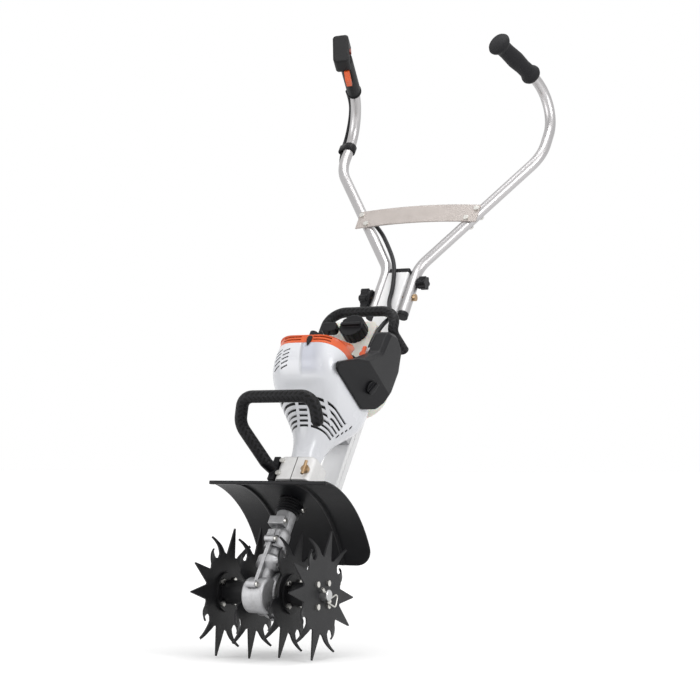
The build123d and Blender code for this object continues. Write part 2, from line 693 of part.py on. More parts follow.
def gearbox_chamber():
    """Hollow of the gearbox: wheel chamber, bearing seats, worm bore, tube socket and screw holes."""
    half = GEARBOX_HALF_WIDTH
    hollow = rod((-DRUM_CHAMBER_HALF_WIDTH, 0, 0), (DRUM_CHAMBER_HALF_WIDTH, 0, 0), DRUM_RADIUS - DRUM_WALL)
    hollow += rod((-half - FREE, 0, 0), (half + FREE, 0, 0), AXLE_BEARING_RADIUS + FIT)
    first, second = worm_bearing_spots()
    top = WORM_HOUSING_HIGH + NECK_LENGTH
    hollow += rod((0, first, DRIVE_Z), (0, tube_start() + FREE, DRIVE_Z), WORM_CHAMBER_RADIUS)
    hollow += rod((0, first, DRIVE_Z), (0, first + WORM_BEARING_WIDTH, DRIVE_Z), WORM_BEARING_RADIUS + FIT)
    hollow += rod((0, second, DRIVE_Z), (0, second + WORM_BEARING_WIDTH, DRIVE_Z), WORM_BEARING_RADIUS + FIT)
    hollow += rod((0, tube_start(), DRIVE_Z), (0, top + FREE, DRIVE_Z), DRIVE_TUBE_RADIUS + FIT)
    reach = LUG_HALF_WIDTH + FREE
    for y, z in lug_spots():
        hollow += rod((-reach, y, z), (reach, y, z), CASE_SCREW_RADIUS + FIT)
    y, z = neck_screw_spot()
    hollow += rod((-NECK_BOSS_WIDTH, y, z), (NECK_BOSS_WIDTH, y, z), CASE_SCREW_RADIUS + FIT)
    return hollow


def half_case(way):
    big = 4 * DRUM_RADIUS + WORM_HOUSING_HIGH + NECK_LENGTH
    side = (0, big) if way > 0 else (-big, 0)
    return gearbox_case() & block(side, (-big, big), (-big, big))


def screw_x(y, z, start, end):
    """Cap screw across the machine with its head beyond end and its tip at start."""
    screw = rod((start, y, z), (end, y, z), CASE_SCREW_RADIUS)
    return screw + rod((end, y, z), (end + CASE_SCREW_HEAD, y, z), CASE_SCREW_HEAD_RADIUS)


def case_screws():
    """Like cap screws of the gearbox halves, the neck boss, the collar lug and the clamp halves."""
    screws = [screw_x(y, z, -LUG_HALF_WIDTH, LUG_HALF_WIDTH) for y, z in lug_spots()]
    y, z = neck_screw_spot()
    screws.append(screw_x(y, z, -NECK_BOSS_WIDTH / 2, NECK_BOSS_WIDTH / 2))
    x, y, z = collar_lug()
    screws.append(screw_x((y[0] + y[1]) / 2, (z[0] + z[1]) / 2, x[0], x[1]))
    top = CLAMP_TOP
    for x, y in clamp_screw_spots():
        screw = rod((x, y, CLAMP_SHOULDER), (x, y, top), CASE_SCREW_RADIUS)
        screws.append(screw + rod((x, y, top), (x, y, top + CASE_SCREW_HEAD), CASE_SCREW_HEAD_RADIUS))
    return screws


def ball_bearings():
    """Sealed bearings of the axle and of the worm."""
    rings = []
    for way in (-1, 1):
        end = way * GEARBOX_HALF_WIDTH
        start = way * (GEARBOX_HALF_WIDTH - AXLE_BEARING_WIDTH)
        rings.append(pipe((start, 0, 0), (end, 0, 0), AXLE_BEARING_RADIUS, AXLE_RADIUS + FIT))
    for low in worm_bearing_spots():
        start, end = (0, low, DRIVE_Z), (0, low + WORM_BEARING_WIDTH, DRIVE_Z)
        rings.append(pipe(start, end, WORM_BEARING_RADIUS, WORM_SHAFT_RADIUS + FIT))
    return rings


def tube_start():
    return WORM_HOUSING_HIGH + FREE


def tube_end():
    return COWL_NECK_START + 2 * COWL_WALL + BUSH_LENGTH


def drive_tube():
    start, end = (0, tube_start(), DRIVE_Z), (0, tube_end(), DRIVE_Z)
    return pipe(start, end, DRIVE_TUBE_RADIUS, DRIVE_TUBE_RADIUS - DRIVE_TUBE_WALL)


def shaft_bushes():
    """Plain bushes that carry the drive shaft inside the tube."""
    inner = DRIVE_TUBE_RADIUS - DRIVE_TUBE_WALL - FIT
    spots = (tube_start() + FREE, tube_end() - BUSH_LENGTH - FREE)
    return [
        pipe((0, y, DRIVE_Z), (0, y + BUSH_LENGTH, DRIVE_Z), inner, DRIVE_SHAFT_RADIUS + FIT) for y in spots
    ]


def drive_shaft():
    return rod((0, COUPLING_Y, DRIVE_Z), (0, DRUM_CUP_START, DRIVE_Z), DRIVE_SHAFT_RADIUS)


def collar_start():
    return WORM_HOUSING_HIGH + NECK_LENGTH


def collar_lug():
    low = collar_start() + COLLAR_LENGTH * 0.2
    half = COLLAR_LUG_WIDTH / 2
    x = (COLLAR_RADIUS * 0.75, COLLAR_RIB_RADIUS + COLLAR_LUG_WIDTH * 0.5)
    return x, (low, low + COLLAR_LUG_WIDTH), (DRIVE_Z - half, DRIVE_Z + half)


def guard_collar():
    """Ribbed collar that clamps the guard's sleeve on the drive tube."""
    low = collar_start()
    bore = DRIVE_TUBE_RADIUS + FIT
    collar = rod((0, low, DRIVE_Z), (0, low + COLLAR_LENGTH, DRIVE_Z), COLLAR_RADIUS)
    pitch = COLLAR_LENGTH / COLLAR_RIBS
    for k in range(COLLAR_RIBS):
        y = low + pitch * k + pitch * 0.25
        collar += rod((0, y, DRIVE_Z), (0, y + pitch * 0.5, DRIVE_Z), COLLAR_RIB_RADIUS)
    x, y, z = collar_lug()
    collar += block(x, y, z)
    collar -= rod((0, low - FREE, DRIVE_Z), (0, low + COLLAR_LENGTH + FREE, DRIVE_Z), bore)
    middle_y, middle_z = (y[0] + y[1]) / 2, (z[0] + z[1]) / 2
    hole = rod((x[0], middle_y, middle_z), (x[1] + FREE, middle_y, middle_z), CASE_SCREW_RADIUS + FIT)
    return collar - hole


def guard_centre():
    """Middle (y, z) of the guard's curve, upright, whose wall meets the drive tube just past the collar."""
    along = collar_start() + COLLAR_LENGTH + GUARD_COLLAR_GAP
    crossing = (Location((0, 0, 0), (LEAN, 0, 0)) * Pos(0, along, DRIVE_Z)).position
    y, z = turned(GUARD_RADIUS, GUARD_CROSSING_ANGLE)
    return crossing.Y - y, crossing.Z - z


def guard_arc(inset, x, front, rear):
    """Strip of the guard's cylinder wall, upright, between two angles and two x values."""
    centre_y, centre_z = guard_centre()

    def at(radius, angle):
        y, z = turned(radius, angle)
        return centre_y + y, centre_z + z
    outer, inner = GUARD_RADIUS, GUARD_RADIUS - inset
    middle = (front + rear) / 2
    outline = (
        ThreePointArc(at(outer, front), at(outer, middle), at(outer, rear))
        + Line(at(outer, rear), at(inner, rear))
        + ThreePointArc(at(inner, rear), at(inner, middle), at(inner, front))
        + Line(at(inner, front), at(outer, front))
    )
    return across(outline, x)


def mud_guard():
    """Curved fender over the back of the tines, with a rim, two inner ribs and a sleeve, upright."""
    w = GUARD_HALF_WIDTH
    front, rear = GUARD_FRONT_ANGLE, GUARD_REAR_ANGLE
    rim_angle = math.degrees(GUARD_RIM / GUARD_RADIUS)
    guard = guard_arc(GUARD_WALL, (-w, w), front, rear)
    guard += guard_arc(GUARD_RIM_DEPTH, (-w, w), front, front - rim_angle)
    for x in (-GUARD_RIB_X, GUARD_RIB_X):
        half = GUARD_RIB_WIDTH / 2
        guard += guard_arc(GUARD_RIB_DEPTH, (x - half, x + half), front, rear)
    shadow = RectangleRounded(2 * w, 2 * GUARD_RADIUS, GUARD_CORNER)
    lowest = guard_centre()[1] + GUARD_RADIUS * math.sin(math.radians(rear))
    window = Plane(origin=(0, 0, lowest + GUARD_RADIUS), x_dir=(1, 0, 0), z_dir=(0, -1, 0)) * shadow
    guard = guard & extrude(window, 2 * GUARD_RADIUS, both=True)
    low = collar_start() + COLLAR_LENGTH
    turn = Location((0, 0, 0), (LEAN, 0, 0))
    sleeve = rod((0, low, DRIVE_Z), (0, CLAMP_START - SEAT, DRIVE_Z), GUARD_SLEEVE_RADIUS)
    hole = rod((0, low - COLLAR_LENGTH - 2 * FREE, DRIVE_Z), (0, CLAMP_START + COLLAR_LENGTH, DRIVE_Z),
               DRIVE_TUBE_RADIUS + FIT)
    clear = rod((0, low - COLLAR_LENGTH - FREE, DRIVE_Z), (0, low, DRIVE_Z), COLLAR_RIB_RADIUS + FREE)
    return guard - turn * clear + turn * sleeve - turn * hole


def clamp_screw_spots():
    x = CLAMP_HALF_WIDTH - CLAMP_CORNER * 0.6
    y = CLAMP_START + CLAMP_LENGTH * 0.8
    return [(-x, y - CLAMP_LENGTH * 0.55), (-x, y)]


def t_screw_spot():
    return T_SCREW_X, CLAMP_START + CLAMP_LENGTH * 0.4


def clamp_bores(low, high):
    """Tube bore and screw holes shared by both clamp halves."""
    bores = rod((0, CLAMP_START - FREE, DRIVE_Z), (0, CLAMP_START + CLAMP_LENGTH + FREE, DRIVE_Z),
                DRIVE_TUBE_RADIUS + FIT)
    for x, y in clamp_screw_spots():
        bores += rod((x, y, low), (x, y, high), CASE_SCREW_RADIUS + FIT)
    x, y = t_screw_spot()
    return bores + rod((x, y, low), (x, y, high), T_SCREW_RADIUS + FIT)


def clamp_base():
    """Lower half of the tool clamp with the foot that stands on the rail."""
    y = (CLAMP_START, CLAMP_START + CLAMP_LENGTH)
    w, foot = CLAMP_HALF_WIDTH, CLAMP_FOOT_HALF_WIDTH
    base = block((-w, w), y, (CLAMP_SHOULDER, DRIVE_Z))
    base += block((-foot, foot), y, (RAIL_TOP, CLAMP_SHOULDER))
    return base - clamp_bores(CLAMP_SHOULDER - FREE, DRIVE_Z + FREE)


def clamp_cap():
    """Upper half of the tool clamp with rounded shoulders."""
    w = CLAMP_HALF_WIDTH
    square = Plane(origin=(0, CLAMP_START, DRIVE_Z), x_dir=(1, 0, 0), z_dir=(0, -1, 0))
    outline = square * RectangleRounded(2 * w, 2 * (CLAMP_TOP - DRIVE_Z), CLAMP_CORNER)
    cap = extrude(outline, -CLAMP_LENGTH)
    cap = cap & block((-w, w), (CLAMP_START, CLAMP_START + CLAMP_LENGTH), (DRIVE_Z, CLAMP_TOP))
    return cap - clamp_bores(DRIVE_Z - FREE, CLAMP_TOP + FREE)


def clamp_t_screw():
    """T-handled screw that pulls the clamp shut."""
    x, y = t_screw_spot()
    head = CLAMP_TOP + SEAT
    bar_z = head + T_SCREW_HEAD + T_BAR_RADIUS * 0.5
    screw = rod((x, y, CLAMP_SHOULDER), (x, y, head), T_SCREW_RADIUS)
    screw += rod((x, y, head), (x, y, head + T_SCREW_HEAD), T_SCREW_HEAD_RADIUS)
    return screw + rod((x, y - T_BAR_HALF_LENGTH, bar_z), (x, y + T_BAR_HALF_LENGTH, bar_z), T_BAR_RADIUS)


def front_handle():
    """Hooked lifting handle, upright, with a foot on the clamp's side."""
    path = FilletPolyline(*FRONT_HANDLE_ROUTE, radius=FRONT_HANDLE_BENDS)
    bar = sweep(Plane(origin=path @ 0, z_dir=path % 0) * Circle(FRONT_HANDLE_RADIUS), path=path)
    bar += Location(path @ 1) * Sphere(FRONT_HANDLE_RADIUS)
    turn = Location((0, 0, 0), (LEAN, 0, 0))
    reach = (-CLAMP_HALF_WIDTH - FRONT_HANDLE_FOOT, -CLAMP_HALF_WIDTH)
    foot = block(reach, (CLAMP_START, CLAMP_START + CLAMP_LENGTH), (CLAMP_SHOULDER, CLAMP_TOP))
    neck = rod(path @ 0, (turn * Pos(-CLAMP_HALF_WIDTH - FRONT_HANDLE_FOOT / 2,
                                     CLAMP_START + CLAMP_LENGTH / 2, DRIVE_Z + FRONT_HANDLE_RADIUS)).position,
               FRONT_HANDLE_RADIUS)
    side = turn * block((-4 * CLAMP_HALF_WIDTH, -CLAMP_HALF_WIDTH), (0, 3 * CLAMP_START),
                        (-CLAMP_TOP, 4 * CLAMP_TOP))
    return bar + ((turn * foot + neck) & side) + Location(path @ 0) * Sphere(FRONT_HANDLE_RADIUS)


def rail_face(inset):
    return RectangleRounded(RAIL_WIDTH - 2 * inset, RAIL_DEPTH - 2 * inset, max(RAIL_CORNER - inset, 0.5))


def rail_bar(inset, low, high):
    square = Plane(origin=(0, low, RAIL_MIDDLE_Z), x_dir=(1, 0, 0), z_dir=(0, -1, 0))
    return extrude(square * rail_face(inset), low - high)


def main_rail():
    """Hollow aluminium profile with a groove down each side."""
    rail = rail_bar(0, RAIL_LOW, RAIL_HIGH) - rail_bar(RAIL_WALL, RAIL_LOW - FREE, RAIL_HIGH + FREE)
    z = RAIL_TOP - RAIL_GROOVE_DROP
    half = RAIL_WIDTH / 2
    for x in ((-half - FREE, RAIL_GROOVE_DEPTH - half), (half - RAIL_GROOVE_DEPTH, half + FREE)):
        rail -= block(x, (RAIL_LOW - FREE, RAIL_HIGH + FREE), (z - RAIL_GROOVE, z))
    z = RAIL_MIDDLE_Z
    return rail - rod((-RAIL_WIDTH, PIVOT_Y, z), (RAIL_WIDTH, PIVOT_Y, z), PIVOT_RADIUS + FIT)


def rail_caps():
    """Plastic plugs in both ends of the rail."""
    caps = []
    for end, way in ((RAIL_HIGH, 1), (RAIL_LOW, -1)):
        outer = sorted((end, end + way * RAIL_CAP))
        plug = sorted((end, end - way * RAIL_CAP_PLUG))
        caps.append(rail_bar(0, *outer) + rail_bar(RAIL_WALL + FIT, *plug))
    return caps


def engine_carrier():
    """Cast block that stands the crankcase on the rail."""
    w = CARRIER_HALF_WIDTH
    return block((-w, w), (CARRIER_START, CARRIER_END), (RAIL_TOP, CRANKCASE_FOOT_Z))


def cylinder_top_opening():
    return CYLINDER_BORE_RADIUS + CYLINDER_WALL


def crankcase():
    """Round crankcase with a foot on the carrier and a deck for the cylinder."""
    front, rear = CRANKCASE_START, CRANKCASE_END
    case = rod((0, front, DRIVE_Z), (0, rear, DRIVE_Z), CRANKCASE_RADIUS)
    case += block((-CARRIER_HALF_WIDTH, CARRIER_HALF_WIDTH), (front, rear), (CRANKCASE_FOOT_Z, DRIVE_Z))
    deck = cylinder_top_opening() + CYLINDER_WALL
    case += block((-deck, deck), (CYLINDER_Y - deck, CYLINDER_Y + deck), (DRIVE_Z, CYLINDER_DECK_Z))
    wall = CRANKCASE_WALL
    case -= rod((0, front + wall, DRIVE_Z), (0, rear - wall, DRIVE_Z), CRANKCASE_RADIUS - wall)
    case -= rod((0, front - FREE, DRIVE_Z), (0, rear + FREE, DRIVE_Z), CRANK_RADIUS + FIT)
    return case - rod((0, CYLINDER_Y, DRIVE_Z), (0, CYLINDER_Y, CYLINDER_DECK_Z + FREE), CYLINDER_BORE_RADIUS)


def cylinder():
    """Finned cylinder with its head and spark plug hole."""
    y = CYLINDER_Y
    outer = cylinder_top_opening()
    body = rod((0, y, CYLINDER_DECK_Z), (0, y, CYLINDER_HEAD_Z), outer)
    pitch = (CYLINDER_HEAD_Z - CYLINDER_DECK_Z) / FIN_COUNT
    for k in range(FIN_COUNT):
        z = CYLINDER_DECK_Z + pitch * (k + 1) - FIN_THICKNESS
        fin = Plane(origin=(0, y, z)) * RectangleRounded(2 * FIN_HALF_X, 2 * FIN_HALF_Y, FIN_THICKNESS * 4)
        body += extrude(fin, FIN_THICKNESS)
    body -= rod((0, y, CYLINDER_DECK_Z - FREE), (0, y, CYLINDER_HEAD_Z - CYLINDER_HEAD), CYLINDER_BORE_RADIUS)
    return body - rod((0, y, CYLINDER_DECK_Z), (0, y, CYLINDER_HEAD_Z + FREE), PLUG_RADIUS * 0.7 + FIT)


def crankshaft():
    """Crankshaft with two round webs and the pin between them."""
    gap = CRANK_PIN_LENGTH / 2
    y = CYLINDER_Y
    shaft = rod((0, CRANK_FRONT, DRIVE_Z), (0, y - gap, DRIVE_Z), CRANK_RADIUS)
    shaft += rod((0, y + gap, DRIVE_Z), (0, CRANK_REAR, DRIVE_Z), CRANK_RADIUS)
    for low in (y - gap - CRANK_WEB, y + gap):
        shaft += rod((0, low, DRIVE_Z), (0, low + CRANK_WEB, DRIVE_Z), CRANK_WEB_RADIUS)
    pin_z = DRIVE_Z + STROKE_HALF
    return shaft + rod((0, y - gap, pin_z), (0, y + gap, pin_z), CRANK_PIN_RADIUS)


def flywheel_fan():
    """Flywheel with its cooling blades."""
    y = FAN_START + FAN_BLADE
    fan = rod((0, y, DRIVE_Z), (0, y + FAN_DISC, DRIVE_Z), FAN_RADIUS)
    fan += rod((0, FAN_START, DRIVE_Z), (0, y, DRIVE_Z), CRANK_RADIUS * 2)
    blade = block((CRANK_RADIUS * 3, FAN_RADIUS - FREE), (FAN_START, y), (-FAN_DISC / 3, FAN_DISC / 3))
    for k in range(FAN_BLADES):
        fan += Pos(0, 0, DRIVE_Z) * Rot(0, 360 * k / FAN_BLADES, 0) * blade
    return fan - rod((0, FAN_START - FREE, DRIVE_Z), (0, y + 2 * FAN_DISC, DRIVE_Z), CRANK_RADIUS + FIT)


def clutch_shoes():
    """Two half-moon shoes on the crankshaft's nose."""
    ring = pipe((0, CLUTCH_START, DRIVE_Z), (0, CLUTCH_START + CLUTCH_LENGTH, DRIVE_Z), CLUTCH_SHOE_RADIUS,
                CRANK_RADIUS + FIT)
    reach = 2 * CLUTCH_SHOE_RADIUS
    y = (CLUTCH_START - FREE, CLUTCH_START + CLUTCH_LENGTH + FREE)
    upper = ring & block((-reach, reach), y, (DRIVE_Z + FREE, DRIVE_Z + reach))
    lower = ring & block((-reach, reach), y, (DRIVE_Z - reach, DRIVE_Z - FREE))
    return [upper, lower]


def clutch_drum():
    """Cup on the drive shaft that the shoes grip from inside."""
    start, end = DRUM_CUP_START, CLUTCH_START + CLUTCH_LENGTH + FREE
    cup = rod((0, start, DRIVE_Z), (0, end, DRIVE_Z), DRUM_CUP_RADIUS)
    wall = DRUM_CUP_WALL
    return cup - rod((0, start + wall, DRIVE_Z), (0, end + FREE, DRIVE_Z), DRUM_CUP_RADIUS - wall)


def spark_plug():
    y, z = CYLINDER_Y, CYLINDER_HEAD_Z
    plug = rod((0, y, z), (0, y, z + PLUG_LENGTH), PLUG_RADIUS)
    return plug + rod((0, y, z - CYLINDER_HEAD), (0, y, z), PLUG_RADIUS * 0.7)


def boot_z():
    return CYLINDER_HEAD_Z + PLUG_LENGTH * 0.4


def plug_boot():
    """Rubber boot on the spark plug, with an elbow out through the top cover."""
    y, z = CYLINDER_Y, boot_z()
    boot = rod((0, y, z), (0, y, z + BOOT_LENGTH), BOOT_RADIUS)
    elbow = z + BOOT_LENGTH - BOOT_RADIUS
    boot += rod((0, y, elbow), (0, y + BOOT_REACH, elbow), BOOT_RADIUS * 0.9)
    return boot - rod((0, y, z - FREE), (0, y, CYLINDER_HEAD_Z + PLUG_LENGTH + SEAT), PLUG_RADIUS + FIT)


def starter_housing():
    """Round starter housing on the back of the crankcase, with holes for the crankshaft and the rope."""
    front, rear, wall = CRANKCASE_END, CRANKCASE_END + STARTER_DEPTH, STARTER_WALL
    housing = rod((0, front, DRIVE_Z), (0, rear, DRIVE_Z), STARTER_RADIUS)
    housing = chamfer(housing.edges().filter_by(GeomType.CIRCLE).sort_by(Axis.Y)[-1], wall * 0.8)
    housing -= rod((0, front + wall, DRIVE_Z), (0, rear - wall, DRIVE_Z), STARTER_RADIUS - wall)
    housing -= rod((0, front - FREE, DRIVE_Z), (0, front + 2 * wall, DRIVE_Z), CRANK_RADIUS + FREE)
    return housing - rod((ROPE_X, front - FREE, ROPE_Z), (ROPE_X, rear + FREE, ROPE_Z), ROPE_RADIUS + SEAT)


def starter_grip():
    """Starter handle with the straight end of its rope."""
    end = GRIP_BAR_Y + GRIP_BAR_LENGTH
    grip = block((ROPE_X - GRIP_BAR_HALF_WIDTH, ROPE_X + GRIP_BAR_HALF_WIDTH), (GRIP_BAR_Y, end),
                 (ROPE_Z - GRIP_BAR_HALF_HEIGHT, ROPE_Z + GRIP_BAR_HALF_HEIGHT))
    grip = fillet(grip.edges().filter_by(Axis.Z), GRIP_BAR_HALF_HEIGHT)
    return grip + rod((ROPE_X, ROPE_INNER_END, ROPE_Z), (ROPE_X, GRIP_BAR_Y, ROPE_Z), ROPE_RADIUS)


def muffler():
    """Box muffler on the cylinder's blind side."""
    x = (-FIN_HALF_X - SEAT - MUFFLER_DEPTH, -FIN_HALF_X - SEAT)
    middle = (CYLINDER_DECK_Z + CYLINDER_HEAD_Z) / 2
    side = Plane(origin=(x[0], CYLINDER_Y, middle), x_dir=(0, 1, 0), z_dir=(1, 0, 0))
    return extrude(side * RectangleRounded(MUFFLER_LENGTH, MUFFLER_HEIGHT, MUFFLER_DEPTH / 3), MUFFLER_DEPTH)


def cowl_loft(inset, sections):
    rings = []
    for y, half_width, low, high, corner in sections:
        rings.append(section(y, half_width - inset, low + inset, high - inset, corner - inset))
    return loft(rings)


def engine_cowl():
    """White cowl: a neck on the drive tube that widens round the fan and the cylinder."""
    cowl = cowl_loft(0, COWL_SECTIONS)
    inner = [row for row in COWL_SECTIONS if row[0] >= COWL_CHAMBER_START]
    cowl -= cowl_loft(COWL_WALL, inner)
    end = COWL_SECTIONS[-1]
    neck = COWL_NECK_START - FREE
    cowl -= rod((0, neck, DRIVE_Z), (0, tube_end() + SEAT, DRIVE_Z), DRIVE_TUBE_RADIUS + FIT)
    bore = DRIVE_TUBE_RADIUS - DRIVE_TUBE_WALL
    cowl -= rod((0, tube_end(), DRIVE_Z), (0, COWL_CHAMBER_START + FREE, DRIVE_Z), bore)
    far = 2 * end[0]
    gap = CARRIER_HALF_WIDTH + FREE
    cowl -= block((-gap, gap), (CARRIER_START - FREE, far), (2 * RAIL_TOP, CRANKCASE_FOOT_Z + FREE))
    cowl -= block((-far, far), (TANK_LOBE_START - FREE, far), (2 * RAIL_TOP, TANK_LOBE_TOP + FREE))
    cowl -= block((-far, far), (COVER_START - SEAT, far), (COVER_LOW - SEAT, far))
    for row in range(VENT_ROWS):
        y = VENT_START + VENT_PITCH * row
        for x in VENT_SPANS:
            cowl -= block(x, (y, y + VENT_WIDTH), (DRIVE_Z, end[3]))
    shoulder_slit = Rot(0, 0, SHOULDER_SLIT_TURN) * Box(SHOULDER_SLIT_LENGTH, SLIT_WIDTH, end[3])
    for row in range(SHOULDER_SLITS):
        y = SHOULDER_SLIT_START + SHOULDER_SLIT_PITCH * row
        for x in SHOULDER_SLIT_X:
            cowl -= Pos(x, y, end[3]) * shoulder_slit
    half, slit = SLIT_WIDTH / 2, SIDE_SLIT_LENGTH / 2
    for row in range(SIDE_SLITS):
        y, z = (start + step * row for start, step in zip(SIDE_SLIT_START, SIDE_SLIT_STEP))
        cowl -= block((COWL_WALL, end[1]), (y - slit, y + slit), (z - half, z + half))
    return cowl


def cover_loft(inset):
    start, half, low, high, corner = COWL_SECTIONS[-1]
    near = section(start, half - inset, COVER_LOW + inset, high - inset, COVER_CORNER - inset)
    far = section(start + COVER_LENGTH - inset, half - COVER_TAPER - inset, COVER_REAR_LOW + inset,
                  COVER_REAR_HIGH - inset, COVER_REAR_CORNER - inset)
    return loft([near, far])


def cover_mouth():
    """Opening that joins the hood's inside to the cowl."""
    start, half, low, high, corner = COWL_SECTIONS[-1]
    wall = COWL_WALL
    mouth = section(start - FREE, half - wall, COVER_LOW + wall, high - wall, COVER_CORNER - wall)
    return extrude(mouth, -2 * FREE)


def top_cover():
    """Orange hood on top of the cowl and over the starter, with slots and a hole for the plug boot."""
    start, half, low, high, corner = COWL_SECTIONS[-1]
    front = cowl_loft(0, COWL_SECTIONS) - cowl_loft(COWL_WALL, COWL_SECTIONS)
    cover = front & block((-2 * half, 2 * half), (COVER_START, start), (COVER_LOW, 2 * high))
    cover += cover_loft(0) - cover_loft(COWL_WALL) - cover_mouth()
    rear = start + COVER_LENGTH + FREE
    cover -= rod((0, start - FREE, DRIVE_Z), (0, rear, DRIVE_Z), STARTER_RADIUS + FREE)
    elbow = boot_z() + BOOT_LENGTH - BOOT_RADIUS
    cover -= rod((0, start - FREE, elbow), (0, rear, elbow), BOOT_RADIUS * 0.9 + SEAT)
    for row in range(COVER_SLOT_ROWS):
        y = COVER_START + 2 * COVER_SLOT + COVER_SLOT_PITCH * row
        for x in COVER_SLOT_SPANS:
            cover -= block(x, (y, y + COVER_SLOT), (DRIVE_Z + half, 2 * high))
    return cover


def filter_outline(inset):
    side = Plane(origin=(0, 0, 0), x_dir=(0, 1, 0), z_dir=(1, 0, 0))
    corners = FilletPolyline(*FILTER_OUTLINE, radius=FILTER_CORNERS, close=True)
    face = make_face(corners)
    return side * (offset(face, -inset) if inset else face)


def filter_wedge(shift):
    """Corner taken off the front of the filter cover, so that it slopes back from a narrow lip."""
    front = min(y for y, z in FILTER_OUTLINE) + shift
    near, far = FILTER_FACE_X + FILTER_LIP, FILTER_FACE_X + FILTER_DEPTH
    out = far + FREE
    corners = Polyline((near, front), (far, front + FILTER_SLOPE), (out, front + FILTER_SLOPE),
                       (out, 0), (near, 0), close=True)
    low, high = min(z for y, z in FILTER_OUTLINE), max(z for y, z in FILTER_OUTLINE)
    return Pos(0, 0, low - FREE) * extrude(make_face(corners), high - low + 2 * FREE)


def filter_knob_place():
    """Place of the twist knob on the sloping front, its axis square to the slope."""
    front = min(y for y, z in FILTER_OUTLINE)
    rise = FILTER_DEPTH - FILTER_LIP
    x = FILTER_FACE_X + FILTER_LIP + rise * (FILTER_KNOB_Y - front) / FILTER_SLOPE
    spot = (x, FILTER_KNOB_Y, FILTER_KNOB_Z)
    return Plane(origin=spot, x_dir=(0, 0, 1), z_dir=(FILTER_SLOPE, -rise, 0)).location


def air_filter_cover():
    """Black cover of the air filter on the machine's right, open towards the engine."""
    outer = Pos(FILTER_FACE_X, 0, 0) * extrude(filter_outline(0), FILTER_DEPTH)
    rim = outer.faces().sort_by(Axis.X)[-1].edges()
    outer = chamfer(rim, FILTER_BEVEL) - filter_wedge(0)
    hollow = extrude(filter_outline(FILTER_WALL * 3), FILTER_DEPTH - FILTER_WALL * 2)
    shell = outer - (Pos(FILTER_FACE_X - FREE, 0, 0) * hollow - filter_wedge(FILTER_WALL * 4))
    hole = rod((0, 0, -FILTER_DEPTH), (0, 0, FILTER_DEPTH), KNOB_STUD_RADIUS + FIT)
    return shell - filter_knob_place() * hole


def filter_knob():
    """Twist knob that holds the filter cover."""
    top = SEAT + FILTER_KNOB_HEIGHT
    knob = rod((0, 0, SEAT), (0, 0, top), FILTER_KNOB_RADIUS)
    reach, web = 2 * FILTER_KNOB_RADIUS, FILTER_KNOB_RADIUS * 0.3
    outside = (SEAT + FILTER_KNOB_HEIGHT * 0.4, reach)
    knob -= block((web, reach), (-reach, reach), outside)
    knob -= block((-reach, -web), (-reach, reach), outside)
    return filter_knob_place() * (knob + rod((0, 0, -FILTER_WALL * 3), (0, 0, SEAT), KNOB_STUD_RADIUS))


def carburettor():
    x = (STARTER_RADIUS + SEAT, FILTER_FACE_X - SEAT)
    body = block(x, (CARB_START, CARB_END), (CARB_LOW, CARB_HIGH))
    y, z = (CARB_START + CARB_END) / 2, (CARB_LOW + CARB_HIGH) / 2
    return body - rod((x[0] - FREE, y, z), (x[1] + FREE, y, z), CARB_THROAT_RADIUS)


def choke_lever():
    """Choke lever on top of the carburettor, with its finger tab."""
    x, y, z = CHOKE_X, CHOKE_Y, CARB_HIGH + SEAT
    lever = rod((x, y, z), (x, y, z + CHOKE_HEIGHT), CHOKE_RADIUS)
    tab = (x - CHOKE_TAB, x + CHOKE_TAB)
    return lever + block(tab, (y, y + CHOKE_REACH), (z + CHOKE_TAB, z + CHOKE_HEIGHT))


def tank_box(x, y, z, corner, inset):
    """Box with rounded upright corners, drawn in by inset on every side."""
    plan = RectangleRounded(x[1] - x[0] - 2 * inset, y[1] - y[0] - 2 * inset, corner - inset)
    middle = Pos((x[0] + x[1]) / 2, (y[0] + y[1]) / 2, z[0] + inset)
    return extrude(middle * plan, z[1] - z[0] - 2 * inset)


def tank_form(inset):
    """Block behind the engine with a lobe along each side of the carrier."""
    lobe = TANK_LOBE_HALF_WIDTH
    gap = CARRIER_HALF_WIDTH + FREE + inset
    middle, low = (TANK_LOBE_START + TANK_END) / 2, (TANK_LOW, TANK_LOBE_TOP)
    across_x, along_y = (-TANK_LEFT, TANK_RIGHT), (TANK_START, TANK_END)
    form = tank_box(across_x, along_y, (TANK_LOW, TANK_TOP), TANK_CORNER, inset)
    sides = (-lobe, lobe)
    form += tank_box(sides, (TANK_LOBE_START, middle + TANK_LOBE_CORNER), low, TANK_LOBE_CORNER, inset)
    form += tank_box(sides, (middle, TANK_END), low, TANK_CORNER, inset)
    return form - block((-gap, gap), (0, CARRIER_END + FREE + inset), (2 * TANK_LOW, TANK_TOP))


def fuel_tank():
    """Translucent tank with its filler neck."""
    x, y, t = FILLER_X, FILLER_Y, TANK_WALL
    top = TANK_TOP + FILLER_HEIGHT
    tank = tank_form(0) + rod((x, y, TANK_TOP - t), (x, y, top), FILLER_RADIUS)
    return tank - tank_form(t) - rod((x, y, TANK_TOP - 2 * t), (x, y, top + FREE), FILLER_RADIUS - t)


